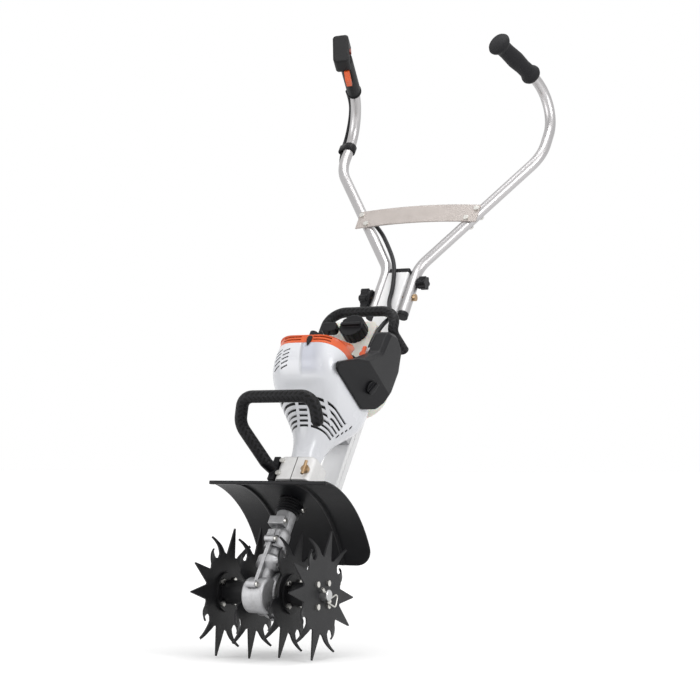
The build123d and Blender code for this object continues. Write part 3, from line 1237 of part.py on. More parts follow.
def fuel_cap():
    """Screw cap with a ribbed rim and a finger bar."""
    x, y = FILLER_X, FILLER_Y
    low = TANK_TOP + SEAT
    cap = rod((x, y, low), (x, y, low + CAP_HEIGHT), CAP_RADIUS)
    for k in range(CAP_GRIPS):
        dx, dy = turned(CAP_RADIUS, 360 * k / CAP_GRIPS)
        cap -= rod((x + dx, y + dy, low - FREE), (x + dx, y + dy, low + CAP_HEIGHT + FREE), CAP_WALL * 0.5)
    cap -= rod((x, y, low - FREE), (x, y, TANK_TOP + FILLER_HEIGHT + SEAT), FILLER_RADIUS + SEAT)
    reach, top = CAP_RADIUS * 0.8, low + CAP_HEIGHT
    return cap + block((x - reach, x + reach), (y - CAP_WALL, y + CAP_WALL), (top, top + 2 * CAP_WALL))


def rear_handle():
    """Loop handle round the back of the tank: a lug on the left, a bent foot on the right."""
    w, z = LOOP_HALF_WIDTH, LOOP_Z
    path = FilletPolyline((-w, LOOP_START, z), (-w, LOOP_END, z), (w, LOOP_END, z), LOOP_KNEE, LOOP_FOOT,
                          radius=(LOOP_BEND, LOOP_BEND, LOOP_KNEE_BEND))
    loop = sweep(Plane(origin=path @ 0, z_dir=path % 0) * Circle(LOOP_RADIUS), path=path)
    half = LOOP_RADIUS * 0.7
    loop += block((-w, -TANK_LEFT), (LOOP_START, LOOP_START + 2 * LOOP_LUG), (z - half, z + half))
    x, y, z = LOOP_FOOT
    return loop + block((TANK_LOBE_HALF_WIDTH, x), (y - half, y + half), (z, z + LOOP_LUG))


def grip_direction():
    """Unit vector along the right grip to its free end."""
    rise = math.sqrt(1 - GRIP_LEAN_IN ** 2 - GRIP_LEAN_DOWN ** 2)
    return Vector(GRIP_LEAN_IN, GRIP_LEAN_DOWN, rise)


def bar_corners():
    """Corner points of the right handlebar tube's middle line."""
    z = RAIL_MIDDLE_Z
    top = Vector(BAR_HALF_WIDTH, BAR_THIRD_BEND_Y, z)
    return [
        Vector(BAR_SPACING, BAR_LOW, z), Vector(BAR_SPACING, BAR_FIRST_BEND_Y, z),
        Vector(BAR_HALF_WIDTH, BAR_SECOND_BEND_Y, z), top, top + grip_direction() * GRIP_RISE,
    ]


def brace_spots():
    """Right side bolt places (x, y) where the brace crosses the sloping run of the tube."""
    first, second = bar_corners()[1:3]
    spots = []
    for y in (BRACE_Y - BRACE_BOLT_PITCH / 2, BRACE_Y + BRACE_BOLT_PITCH / 2):
        share = (y - first.Y) / (second.Y - first.Y)
        spots.append((first.X + share * (second.X - first.X), y))
    return spots


def right_tube():
    corners = bar_corners()
    corners[-1] = corners[-1] - grip_direction() * BAR_END_GAP
    path = FilletPolyline(*corners, radius=BAR_BENDS)
    ring = Circle(BAR_RADIUS) - Circle(BAR_RADIUS - BAR_WALL)
    tube = sweep(Plane(origin=path @ 0, z_dir=path % 0) * ring, path=path)
    z, reach = RAIL_MIDDLE_Z, 2 * BAR_RADIUS
    tube -= rod((BAR_SPACING - reach, PIVOT_Y, z), (BAR_SPACING + reach, PIVOT_Y, z), PIVOT_RADIUS + FIT)
    tube -= rod((BAR_SPACING - reach, KNOB_Y, z), (BAR_SPACING + reach, KNOB_Y, z), KNOB_STUD_RADIUS + FIT)
    for x, y in brace_spots():
        tube -= rod((x, y, z - reach), (x, y, z + reach), BRACE_BOLT_RADIUS + FIT)
    return tube


def tube_end_caps():
    """Plastic plugs in the low ends of both tubes."""
    x, y, z = BAR_SPACING, BAR_LOW, RAIL_MIDDLE_Z
    cap = rod((x, y - BAR_CAP, z), (x, y, z), BAR_RADIUS + FIT)
    cap += rod((x, y, z), (x, y + BAR_CAP_PLUG, z), BAR_RADIUS - BAR_WALL - FIT)
    return [cap, mirrored(cap)]


def bar_face():
    return BAR_SPACING + BAR_RADIUS + SEAT


def pivot_bolt():
    """Cross bolt through the rail that both tubes turn on: head on the right, thread in the left knob."""
    y, z, end = PIVOT_Y, RAIL_MIDDLE_Z, bar_face()
    bolt = rod((-end - LEFT_KNOB_HEIGHT * 0.7, y, z), (end, y, z), PIVOT_RADIUS)
    return bolt + rod((end, y, z), (end + PIVOT_HEAD, y, z), PIVOT_HEAD_RADIUS)


def star_knob(y, radius, height):
    """Lobed knob on the right side's outer face."""
    z, face = RAIL_MIDDLE_Z, bar_face()
    knob = rod((face, y, z), (face + height, y, z), radius * 0.78)
    for k in range(KNOB_LOBES):
        dy, dz = turned(radius * 0.72, 360 * k / KNOB_LOBES)
        knob += rod((face + height * 0.25, y + dy, z + dz), (face + height, y + dy, z + dz), radius * 0.28)
    return knob


def left_knob():
    """Knob nut on the end of the pivot bolt."""
    z, face = RAIL_MIDDLE_Z, bar_face()
    depth = face + LEFT_KNOB_HEIGHT * 0.7 + FREE
    bore = rod((face - FREE, PIVOT_Y, z), (depth, PIVOT_Y, z), PIVOT_RADIUS + FIT)
    return mirrored(star_knob(PIVOT_Y, LEFT_KNOB_RADIUS, LEFT_KNOB_HEIGHT) - bore)


def right_knob():
    """Knob with the stud that steadies the bar on the rail."""
    z = RAIL_MIDDLE_Z
    stud = rod((RAIL_WIDTH / 2 + SEAT, KNOB_Y, z), (bar_face(), KNOB_Y, z), KNOB_STUD_RADIUS)
    return star_knob(KNOB_Y, RIGHT_KNOB_RADIUS, RIGHT_KNOB_HEIGHT) + stud


def cross_brace():
    """Flat plate across both tubes, bowed up between them."""
    (x0, y0), (x1, y1) = brace_spots()
    reach = (x0 + x1) / 2 + BAR_RADIUS * 1.3
    z = RAIL_MIDDLE_Z + BAR_RADIUS + FIT
    low, high = BRACE_Y - BRACE_WIDTH / 2, BRACE_Y + BRACE_WIDTH / 2
    outline = (
        ThreePointArc((-reach, high), (0, high + BRACE_ARCH), (reach, high))
        + Line((reach, high), (reach, low))
        + ThreePointArc((reach, low), (0, low + BRACE_ARCH), (-reach, low))
        + Line((-reach, low), (-reach, high))
    )
    plate = extrude(Pos(0, 0, z) * make_face(outline), BRACE_PLATE)
    for x, y in brace_spots():
        for side in (-1, 1):
            plate -= rod((side * x, y, z - FREE), (side * x, y, z + 2 * BRACE_PLATE), BRACE_BOLT_RADIUS + FIT)
    return plate


def brace_bolts():
    """Bolts that hold the brace on the tubes, with their heads in front."""
    bolts = []
    back = RAIL_MIDDLE_Z - BAR_RADIUS - FIT
    front = RAIL_MIDDLE_Z + BAR_RADIUS + FIT + BRACE_PLATE
    for x, y in brace_spots():
        bolt = rod((x, y, back), (x, y, front), BRACE_BOLT_RADIUS)
        bolt += rod((x, y, front), (x, y, front + BRACE_BOLT_HEAD), BRACE_BOLT_HEAD_RADIUS)
        bolt += rod((x, y, back - BRACE_BOLT_HEAD), (x, y, back), BRACE_BOLT_HEAD_RADIUS)
        bolts += [bolt, mirrored(bolt)]
    return bolts


def right_grip():
    """Ribbed grip pushed over the right tube, with a flange at each end."""
    along = grip_direction()
    end = bar_corners()[-1] + along * GRIP_END
    low = end - along * (GRIP_LENGTH + GRIP_END)
    grip = rod(low, end, GRIP_RADIUS)
    grip += rod(low, low + along * GRIP_FLANGE, GRIP_FLANGE_RADIUS)
    grip += rod(end - along * GRIP_FLANGE, end, GRIP_FLANGE_RADIUS)
    pitch = (GRIP_LENGTH + GRIP_END - 2 * GRIP_FLANGE) / GRIP_RIBS
    for k in range(GRIP_RIBS):
        start = low + along * (GRIP_FLANGE + pitch * (k + 0.25))
        grip += rod(start, start + along * (pitch / 2), GRIP_RADIUS + GRIP_RIB_RISE)
    return grip - rod(low - along * FREE, end - along * (GRIP_END + BAR_END_GAP), BAR_RADIUS + FIT)


def control_plane():
    """Frame of the left control: origin at the tube's end point, x towards the trigger."""
    end = bar_corners()[-1]
    along = grip_direction()
    along = Vector(-along.X, along.Y, along.Z)
    down = Vector(0, -1, 0)
    side = down - along * down.dot(along)
    side = side.rotate(Axis((0, 0, 0), along), CONTROL_TWIST)
    return Plane(origin=(-end.X, end.Y, end.Z), x_dir=side, z_dir=along)


def control_wedge(outline, half_width):
    """Outline of (x, z) points in the control's frame, carried to both sides of y = 0."""
    flat = Plane(origin=(0, 0, 0), x_dir=(1, 0, 0), z_dir=(0, -1, 0))
    return extrude(flat * make_face(Polyline(*outline, close=True)), half_width, both=True)


def control_pin(pivot, reach, radius):
    return rod((pivot[0], -reach, pivot[1]), (pivot[0], reach, pivot[1]), radius)


def throttle_housing():
    """Handle shell of the throttle control with its head, slots and hinge pins."""
    low = -CONTROL_LENGTH
    body = extrude(Pos(0, 0, low) * Ellipse(CONTROL_HALF_X, CONTROL_HALF_Y), CONTROL_LENGTH)
    flange = Ellipse(CONTROL_HALF_X + CONTROL_FLANGE / 2, CONTROL_HALF_Y + CONTROL_FLANGE / 2)
    body += extrude(Pos(0, 0, low) * flange, CONTROL_FLANGE)
    head = RectangleRounded(2 * HEAD_HALF_X, 2 * HEAD_HALF_Y, HEAD_CORNER)
    body += extrude(Pos(HEAD_X, HEAD_Y, HEAD_START) * head, HEAD_END - HEAD_START)
    body -= rod((0, 0, low - FREE), (0, 0, -BAR_END_GAP + SEAT), BAR_RADIUS + FIT)
    for outline, half in ((TRIGGER_OUTLINE, TRIGGER_HALF_WIDTH), (LOCKOUT_OUTLINE, LOCKOUT_HALF_WIDTH)):
        side = 1 if outline[0][0] > 0 else -1
        z = [point[1] for point in outline]
        x = sorted((side * (BAR_RADIUS + FREE), side * 3 * HEAD_HALF_X))
        body -= block(x, (-half - FREE / 2, half + FREE / 2), (min(z) - 2 * FREE, max(z) + 3 * FREE))
    for pivot, half in ((TRIGGER_PIVOT, TRIGGER_HALF_WIDTH), (LOCKOUT_PIVOT, LOCKOUT_HALF_WIDTH)):
        body += control_pin(pivot, half + 2 * FREE, CONTROL_PIN_RADIUS)
    half = SWITCH_HALF_WIDTH + FREE / 2
    low = HEAD_X - SWITCH_LENGTH / 2 - FREE / 2
    high = HEAD_X + SWITCH_LENGTH / 2 + SWITCH_TRAVEL + FREE / 2
    face = HEAD_Y + HEAD_HALF_Y
    pocket = (face - SWITCH_POCKET, face + HEAD_HALF_Y)
    return body - block((low, high), pocket, (SWITCH_Z - half, SWITCH_Z + half))


def lever(outline, half_width, pivot):
    return control_wedge(outline, half_width) - control_pin(pivot, 2 * half_width, CONTROL_PIN_RADIUS + FIT)


def stop_switch():
    """Slide switch in the head's side pocket."""
    face = HEAD_Y + HEAD_HALF_Y
    half = SWITCH_LENGTH / 2
    return block((HEAD_X - half, HEAD_X + half), (face - SWITCH_POCKET + FIT, face + SWITCH_RISE),
                 (SWITCH_Z - SWITCH_HALF_WIDTH, SWITCH_Z + SWITCH_HALF_WIDTH))


def throttle_cable():
    """Cable from the control, behind the left tube, over the rail to the carburettor."""
    path = FilletPolyline(*CABLE_ROUTE, radius=CABLE_BENDS)
    return sweep(Plane(origin=path @ 0, z_dir=path % 0) * Circle(CABLE_RADIUS), path=path)


os.makedirs("parts", exist_ok=True)

discs = (
    ("tine_left_outer", -OUTER_TINE_X, OUTER_PATTERN), ("tine_left_inner", -INNER_TINE_X, INNER_PATTERN),
    ("tine_right_inner", INNER_TINE_X, INNER_PATTERN), ("tine_right_outer", OUTER_TINE_X, OUTER_PATTERN),
)
for (name, x, pattern), turn in zip(discs, TINE_TURNS):
    save(name, tine_disc(x, pattern, turn), UPRIGHT)
save("tine_hubs", [hub(), mirrored(hub())], UPRIGHT)
bolts = hub_bolts()
save("tine_bolts", bolts + [mirrored(bolt) for bolt in bolts], UPRIGHT)
save("axle", axle(), UPRIGHT)
save("linch_pins", [linch_pin(), mirrored(linch_pin())], UPRIGHT)
save("mud_guard", mud_guard(), UPRIGHT)
save("front_handle", front_handle(), UPRIGHT)

tube = right_tube()
save("worm_wheel", worm_wheel(), LEANING)
save("worm_shaft", worm_shaft(), LEANING)
save("gearbox_left_half", half_case(-1), LEANING)
save("gearbox_right_half", half_case(1), LEANING)
save("case_screws", case_screws(), LEANING)
save("ball_bearings", ball_bearings(), LEANING)
save("drive_tube", drive_tube(), LEANING)
save("shaft_bushes", shaft_bushes(), LEANING)
save("drive_shaft", drive_shaft(), LEANING)
save("guard_collar", guard_collar(), LEANING)
save("clamp_base", clamp_base(), LEANING)
save("clamp_cap", clamp_cap(), LEANING)
save("clamp_t_screw", clamp_t_screw(), LEANING)
save("main_rail", main_rail(), LEANING)
save("rail_caps", rail_caps(), LEANING)
save("engine_carrier", engine_carrier(), LEANING)
save("crankcase", crankcase(), LEANING)
save("cylinder", cylinder(), LEANING)
save("crankshaft", crankshaft(), LEANING)
save("flywheel_fan", flywheel_fan(), LEANING)
save("clutch_shoes", clutch_shoes(), LEANING)
save("clutch_drum", clutch_drum(), LEANING)
save("spark_plug", spark_plug(), LEANING)
save("plug_boot", plug_boot(), LEANING)
save("muffler", muffler(), LEANING)
save("engine_cowl", engine_cowl(), LEANING)
save("top_cover", top_cover(), LEANING)
save("air_filter_cover", air_filter_cover(), LEANING)
save("filter_knob", filter_knob(), LEANING)
save("starter_housing", starter_housing(), LEANING)
save("starter_grip", starter_grip(), LEANING)
save("carburettor", carburettor(), LEANING)
save("choke_lever", choke_lever(), LEANING)
save("fuel_tank", fuel_tank(), LEANING)
save("fuel_cap", fuel_cap(), LEANING)
save("rear_handle", rear_handle(), LEANING)
save("right_tube", tube, LEANING)
save("left_tube", mirrored(tube), LEANING)
save("tube_end_caps", tube_end_caps(), LEANING)
save("pivot_bolt", pivot_bolt(), LEANING)
save("left_knob", left_knob(), LEANING)
save("right_knob", right_knob(), LEANING)
save("cross_brace", cross_brace(), LEANING)
save("brace_bolts", brace_bolts(), LEANING)
save("right_grip", right_grip(), LEANING)
save("throttle_cable", throttle_cable(), LEANING)

control = LEANING * control_plane().location
save("throttle_housing", throttle_housing(), control)
save("throttle_trigger", lever(TRIGGER_OUTLINE, TRIGGER_HALF_WIDTH, TRIGGER_PIVOT), control)
save("throttle_lockout", lever(LOCKOUT_OUTLINE, LOCKOUT_HALF_WIDTH, LOCKOUT_PIVOT), control)
save("stop_switch", stop_switch(), control)
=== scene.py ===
import bpy
import numpy as np
from mathutils import Matrix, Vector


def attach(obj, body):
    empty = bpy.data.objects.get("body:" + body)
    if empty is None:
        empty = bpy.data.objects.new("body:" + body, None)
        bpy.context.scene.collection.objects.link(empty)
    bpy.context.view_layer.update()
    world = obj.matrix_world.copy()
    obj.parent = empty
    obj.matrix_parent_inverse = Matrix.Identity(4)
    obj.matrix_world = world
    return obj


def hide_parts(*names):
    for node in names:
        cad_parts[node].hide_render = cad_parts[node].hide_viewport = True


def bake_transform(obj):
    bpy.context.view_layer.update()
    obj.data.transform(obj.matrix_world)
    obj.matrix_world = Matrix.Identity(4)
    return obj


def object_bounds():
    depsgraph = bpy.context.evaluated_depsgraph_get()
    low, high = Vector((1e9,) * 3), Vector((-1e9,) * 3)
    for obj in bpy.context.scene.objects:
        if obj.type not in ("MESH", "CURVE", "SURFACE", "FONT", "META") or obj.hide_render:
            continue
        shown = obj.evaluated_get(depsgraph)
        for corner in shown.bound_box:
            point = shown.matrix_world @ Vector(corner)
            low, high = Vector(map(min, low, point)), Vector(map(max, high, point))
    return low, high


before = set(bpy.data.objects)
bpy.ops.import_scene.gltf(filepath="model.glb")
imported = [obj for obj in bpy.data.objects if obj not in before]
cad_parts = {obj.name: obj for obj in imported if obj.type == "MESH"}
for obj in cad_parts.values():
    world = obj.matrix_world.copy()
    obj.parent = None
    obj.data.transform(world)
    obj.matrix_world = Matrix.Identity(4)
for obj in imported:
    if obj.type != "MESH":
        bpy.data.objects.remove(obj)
cad_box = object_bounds()


# Tine discs and their hubs: four stars cut from 3 mm steel plate, their claws bent out cold, bolted to the
# flanges of two hub tubes. All of it is dipped in satin black paint that is rubbed in specks and a bit dusty.
class Wire:
    """A socket of a finish. Arithmetic on it adds Math nodes, and add() puts in any other node."""

    def __init__(self, tree, socket=None):
        self.tree = tree
        self.socket = socket

    def add(self, kind, settings, sockets, out=0):
        """Node of that kind: first its settings, then the values or links of its sockets."""
        node = self.tree.nodes.new(kind)
        for key, value in settings.items():
            setattr(node, key, value)
        for key, value in sockets.items():
            if isinstance(value, Wire):
                self.tree.links.new(value.socket, node.inputs[key])
            else:
                node.inputs[key].default_value = value
        return Wire(self.tree, node.outputs[out] if node.outputs else None)

    def output(self, name):
        """Another output of the same node."""
        return Wire(self.tree, self.socket.node.outputs[name])

    def maths(self, operation, first, second=0.0):
        """Math node of two values, or of one."""
        return self.add("ShaderNodeMath", {"operation": operation}, {0: first, 1: second})

    def __add__(self, other):
        return self.maths("ADD", self, other)

    def __radd__(self, other):
        return self.maths("ADD", other, self)

    def __sub__(self, other):
        return self.maths("SUBTRACT", self, other)

    def __rsub__(self, other):
        return self.maths("SUBTRACT", other, self)

    def __mul__(self, other):
        return self.maths("MULTIPLY", self, other)

    def __rmul__(self, other):
        return self.maths("MULTIPLY", other, self)

    def __truediv__(self, other):
        return self.maths("DIVIDE", self, other)

    def __rtruediv__(self, other):
        return self.maths("DIVIDE", other, self)


def new_finish(name):
    """Empty material and the wire of the place on the piece, in metres."""
    material = bpy.data.materials.new(name)
    material.use_nodes = True
    material.node_tree.nodes.clear()
    return material, Wire(material.node_tree).add("ShaderNodeTexCoord", {}, {}, "Object")


def close_finish(place, colour, roughness, height, depth, edge=0.0006, **constants):
    """Shader of a finish: colour, roughness and relief (height times depth, in metres) vary over the piece,
    edges look as round as edge, and the constants are the same all over."""
    rounded = place.add("ShaderNodeBevel", {"samples": 6}, {"Radius": edge})
    relief = place.add("ShaderNodeBump", {}, {"Height": height, "Distance": depth, "Normal": rounded})
    sockets = {"Base Color": colour, "Roughness": roughness, "Normal": relief}
    sockets.update({key.replace("_", " "): value for key, value in constants.items()})
    shader = place.add("ShaderNodeBsdfPrincipled", {}, sockets)
    place.add("ShaderNodeOutputMaterial", {}, {"Surface": shader})


def grain(place, scale, detail=2.0, rough=0.5):
    """Cloudy noise from 0 to 1 whose blots are about one over scale metres wide."""
    sockets = {"Vector": place, "Scale": scale, "Detail": detail, "Roughness": rough}
    return place.add("ShaderNodeTexNoise", {}, sockets)


def fade(value, low, high):
    """Smooth rise from 0 at low to 1 at high."""
    ends = {"Value": value, "From Min": low, "From Max": high}
    return value.add("ShaderNodeMapRange", {"interpolation_type": "SMOOTHSTEP"}, ends)


def tint(share, first, second):
    """Colour that goes from the first to the second, each a colour or a wire, as share goes from 0 to 1."""
    first, second = (end if isinstance(end, Wire) else (*end, 1) for end in (first, second))
    return share.add("ShaderNodeMix", {"data_type": "RGBA"}, {0: share, 6: first, 7: second}, 2)


def dress(material, *nodes):
    """Gives the solids of these nodes that finish."""
    for node in nodes:
        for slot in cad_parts[node].material_slots:
            slot.material = material


PAINT_BLACK, PAINT_RUBBED = (0.007, 0.007, 0.008), (0.042, 0.042, 0.045)
tine_paint, place = new_finish("tine_paint")
dust = grain(place, scale=34, detail=5)
rubbed = fade(grain(place, scale=210, detail=6, rough=0.72), low=0.6, high=0.72)
close_finish(
    place, tint(0.3 * dust + 0.4 * rubbed, PAINT_BLACK, PAINT_RUBBED), roughness=0.34 + 0.2 * dust,
    height=grain(place, scale=620, detail=3) + 0.5 * rubbed, depth=0.0002, IOR=1.32,
)
dress(tine_paint, "tine_left_outer", "tine_left_inner", "tine_right_inner", "tine_right_outer", "tine_hubs")


# Axle and its fasteners: a turned steel shaft through both hubs, zinc plated bolts through discs and flanges,
# and a linch pin with a wire bail through each end of the axle.
STEEL_DULL, STEEL_BRIGHT = (0.42, 0.42, 0.42), (0.6, 0.6, 0.6)
RING_STRETCH = (2600, 60, 60)
turned_steel, place = new_finish("turned_steel")
rings = place.add("ShaderNodeMapping", {}, {"Vector": place, "Scale": RING_STRETCH})
close_finish(
    place, tint(grain(place, scale=40, detail=4), STEEL_DULL, STEEL_BRIGHT),
    roughness=0.26 + 0.14 * grain(place, scale=90, detail=4), height=grain(rings, scale=1), depth=0.00006,
    Metallic=1.0,
)
ZINC_DULL, ZINC_BRIGHT = (0.5, 0.49, 0.47), (0.7, 0.69, 0.65)
zinc, place = new_finish("zinc_plate")
spangle = grain(place, scale=480)
close_finish(
    place, tint(spangle, ZINC_DULL, ZINC_BRIGHT), roughness=0.24 + 0.2 * grain(place, scale=120, detail=4),
    height=spangle, depth=0.00005, Metallic=1.0,
)
dress(turned_steel, "axle")
dress(zinc, "tine_bolts", "linch_pins")


# Worm gearbox: two die cast aluminium halves, tumbled so that they are even and dull, screwed together on the
# middle plane. They carry a bronze wheel on the axle, a ground steel worm and sealed bearings.
def openness(place, reach):
    """Share of all directions, from 0 to 1, that the piece's own shape leaves free within reach metres."""
    settings = {"samples": 8, "only_local": True}
    return place.add("ShaderNodeAmbientOcclusion", settings, {"Distance": reach}, "AO")


CAST_CLEAN, CAST_STAIN_AND_SHADE = (0.7, 0.7, 0.715), (0.1, 0.1, 0.105)
casting, place = new_finish("tumbled_casting")
sand = grain(place, scale=900, detail=3, rough=0.6)
stain = grain(place, scale=60, detail=5, rough=0.62)
# The casting goes dark where its own shape closes round it: painted shade in the crevices. Sand and stain
# shift its tone towards the same dark colour.
crevice_shade = 1 - openness(place, reach=0.012)
close_finish(
    place, tint(0.3 * sand + 0.5 * stain + 0.9 * crevice_shade, CAST_CLEAN, CAST_STAIN_AND_SHADE),
    roughness=0.34 + 0.2 * stain, height=sand + 0.8 * grain(place, scale=240, detail=3), depth=0.0006,
    edge=0.0014, Metallic=0.7,
)
BRONZE_DULL, BRONZE_BRIGHT = (0.42, 0.25, 0.1), (0.6, 0.4, 0.19)
bronze, place = new_finish("bearing_bronze")
close_finish(
    place, tint(grain(place, scale=60, detail=4), BRONZE_DULL, BRONZE_BRIGHT),
    roughness=0.3 + 0.15 * grain(place, scale=140, detail=3), height=grain(place, scale=800), depth=0.00008,
    Metallic=1.0,
)
dress(casting, "gearbox_left_half", "gearbox_right_half")
dress(zinc, "case_screws")
dress(turned_steel, "worm_shaft", "ball_bearings")
dress(bronze, "worm_wheel")


# Drive tube: a drawn aluminium tube from the gearbox to the cowl, with the steel drive shaft in two bushes
# inside it. Drawing leaves fine lines along it, and a clear finish keeps it bright.
LEAN = np.radians(54)


def along_rail(place, stretch):
    """Place on the piece turned into the leaning frame (y up the rail), times stretch."""
    turned = place.add("ShaderNodeMapping", {}, {"Vector": place, "Rotation": (-LEAN, 0, 0)})
    return place.add("ShaderNodeMapping", {}, {"Vector": turned, "Scale": stretch})


DRAWN_DULL, DRAWN_BRIGHT = (0.4, 0.39, 0.395), (0.5, 0.49, 0.49)
drawn_aluminium, place = new_finish("drawn_aluminium")
lines = grain(along_rail(place, stretch=(600, 8, 600)), scale=1, detail=3)
cloud = grain(place, scale=16, detail=4)
close_finish(
    place, tint(0.5 * lines + 0.5 * cloud, DRAWN_DULL, DRAWN_BRIGHT),
    roughness=0.27 + 0.08 * lines + 0.08 * cloud, height=lines, depth=0.00001, Metallic=1.0,
)
dress(drawn_aluminium, "drive_tube")
dress(turned_steel, "drive_shaft")
dress(bronze, "shaft_bushes")


# Mud guard and collar: the guard is a curved steel fender with a rim and two inner ribs, and a ribbed plastic
# collar clamps its sleeve on the tube. Both have a grained black skin that is shiny where soil has rubbed it.
MOULDING_DEEP, MOULDING_RUBBED = (0.004, 0.004, 0.005), (0.011, 0.011, 0.013)
black_moulding, place = new_finish("black_moulding")
spark = place.add("ShaderNodeTexVoronoi", {}, {"Vector": place, "Scale": 1100.0})
shine = grain(place, scale=18, detail=5, rough=0.6)
close_finish(
    place, tint(shine, MOULDING_DEEP, MOULDING_RUBBED), roughness=0.28 + 0.2 * shine,
    height=spark + 0.4 * grain(place, scale=500), depth=0.00012, edge=0.004, IOR=1.28,
)
dress(black_moulding, "mud_guard", "guard_collar")


# Tool clamp and front handle: a die cast clamp with a yellow passivated T screw holds the tube on the rail. A
# bent bar hooks forward from its side under a soft black sleeve with staggered rows of pits for grip.
ARC_POINTS, DOME_STEP = 40, 10


def bar_line(corners, bends, step):
    """Middle line of a bent bar, in even steps. Each corner is an arc of its bend radius about a point on
    the corner's bisector, at radius / sin(half angle), and it meets both runs at radius / tan(half angle)."""
    corners = np.asarray(corners, float)
    pieces = [corners[:1]]
    for before, corner, after, bend in zip(corners, corners[1:], corners[2:], bends):
        back = (before - corner) / np.linalg.norm(before - corner)
        ahead = (after - corner) / np.linalg.norm(after - corner)
        half = np.arccos(back @ ahead) / 2
        middle = corner + (back + ahead) / np.linalg.norm(back + ahead) * bend / np.sin(half)
        start = (corner + back * bend / np.tan(half) - middle) / bend
        turn = np.linspace(0, np.pi - 2 * half, ARC_POINTS)[:, None]
        pieces.append(middle + bend * (np.cos(turn) * start - np.sin(turn) * back))
    line = np.concatenate(pieces + [corners[-1:]])
    run = np.concatenate([[0], np.cumsum(np.linalg.norm(np.diff(line, axis=0), axis=1))])
    even = np.linspace(0, run[-1], int(run[-1] / step) + 1)
    return np.stack([np.interp(even, run, line[:, k]) for k in range(3)], -1)


def domed(line, radius):
    """Line and radii of a bar whose far end is a half ball: past the end, the step is radius x sin(a) and the
    radius shrinks as cos(a)."""
    ahead = (line[-1] - line[-2]) / np.linalg.norm(line[-1] - line[-2])
    turn = np.radians(np.arange(DOME_STEP, 90, DOME_STEP))
    line = np.concatenate([line, line[-1] + radius * np.sin(turn)[:, None] * ahead])
    return line, np.concatenate([np.full(len(line) - len(turn), radius), radius * np.cos(turn)])


def piece(name, points, faces, corners, material):
    """Mesh piece from its points, its faces and the UV of each face corner."""
    mesh = bpy.data.meshes.new(name)
    mesh.from_pydata(points.tolist(), [], faces)
    mesh.uv_layers.new(name="run").data.foreach_set("uv", corners.astype(np.float32).ravel())
    mesh.shade_smooth()
    mesh.materials.append(material)
    made = bpy.data.objects.new(name, mesh)
    bpy.context.scene.collection.objects.link(made)
    return made


def capped(rows, sides):
    """Faces of a grid whose rows close on themselves: quads from row i to i + 1 and from side j to j + 1,
    then triangles from the first row to the point after the grid and from the last row to the next one."""
    i, j = (grid.ravel() for grid in np.meshgrid(np.arange(rows - 1), np.arange(sides), indexing="ij"))
    after = (j + 1) % sides
    quads = np.stack([i * sides + j, i * sides + after, (i + 1) * sides + after, (i + 1) * sides + j], -1)
    k = np.arange(sides)
    last = (rows - 1) * sides
    near = np.stack([np.full(sides, rows * sides), (k + 1) % sides, k], -1)
    far = np.stack([np.full(sides, rows * sides + 1), last + k, last + (k + 1) % sides], -1)
    return quads, near, far


def skin(name, line, radii, sides, aside, material):
    """Round skin along a line: a ring's points are line + radius x (cos a x first + sin a x second), with
    first square to the line and to aside. A point closes each end. UV is metres along and turns round it."""
    run = np.gradient(line, axis=0)
    run /= np.linalg.norm(run, axis=1)[:, None]
    first = np.cross(run, aside)
    first /= np.linalg.norm(first, axis=1)[:, None]
    second = np.cross(run, first)
    turn = np.linspace(0, 2 * np.pi, sides, endpoint=False)[None, :, None]
    spokes = np.cos(turn) * first[:, None] + np.sin(turn) * second[:, None]
    rings = line[:, None] + np.asarray(radii)[:, None, None] * spokes
    points = np.concatenate([rings.reshape(-1, 3), line[:1], line[-1:]])
    quads, near, far = capped(len(line), sides)
    length = np.concatenate([[0], np.cumsum(np.linalg.norm(np.diff(line, axis=0), axis=1))])
    side = np.arange(sides)
    j = np.tile(side, len(line) - 1)
    around = np.stack([j, j + 1, j + 1, j], -1) / sides
    wall = np.stack([length[quads // sides], around], -1).reshape(-1, 2)
    caps = [np.stack([np.full(3 * sides, end), np.repeat(side, 3) / sides], -1) for end in (0, length[-1])]
    faces = quads.tolist() + near.tolist() + far.tolist()
    return piece(name, points, faces, np.concatenate([wall, *caps]), material)


# Each pit is a slanted oval, one to a pitch along the sleeve and to a row round it. Odd rows are half a pitch
# on and slant the other way.
SLEEVE_BLACK, PIT_SHADE = (0.009, 0.009, 0.0105), (0.001, 0.001, 0.001)
PIT_PITCH, PIT_ROWS, PIT_ROW_GAP = 0.0098, 8, 0.0086
PIT_SLANT, PIT_SQUASH, PIT_RIM = 0.7, 0.55, (0.0021, 0.0031)
pitted_sleeve, place = new_finish("pitted_sleeve")
run = place.add("ShaderNodeSeparateXYZ", {}, {0: place.add("ShaderNodeTexCoord", {}, {}, "UV")})
v = run.output(1) * PIT_ROWS
row = v.maths("FLOOR", v)
odd = v.maths("MODULO", row, 2.0)
u = run / PIT_PITCH + 0.5 * odd
above = (v - row - 0.5) * PIT_ROW_GAP
beside = (u - v.maths("FLOOR", u) - 0.5) * PIT_PITCH + (2 * PIT_SLANT * odd - PIT_SLANT) * above
# The bump sinks each pit, and painted shade also darkens it.
pit = 1 - fade(v.maths("SQRT", beside * beside + PIT_SQUASH * above * above), *PIT_RIM)
wipe = grain(place, scale=30, detail=4)
close_finish(
    place, tint(pit, SLEEVE_BLACK, PIT_SHADE), roughness=0.44 + 0.16 * wipe,
    height=0.06 * grain(place, scale=1500) - pit, depth=0.0018, IOR=1.3,
)
AXLE_MIDDLE = np.array((0, -0.322, 0.1104819))
HANDLE_CORNERS = ((-52, 66, 228), (-93, 42, 298), (-76, 25, 346), (66, 25, 346), (70, 34, 303))
HANDLE_BENDS, HANDLE_RADIUS, HANDLE_ASIDE = (0.036, 0.026, 0.026), 0.0114, (0, 1, 0)
SLEEVE_STEP, SLEEVE_SIDES = 0.003, 40
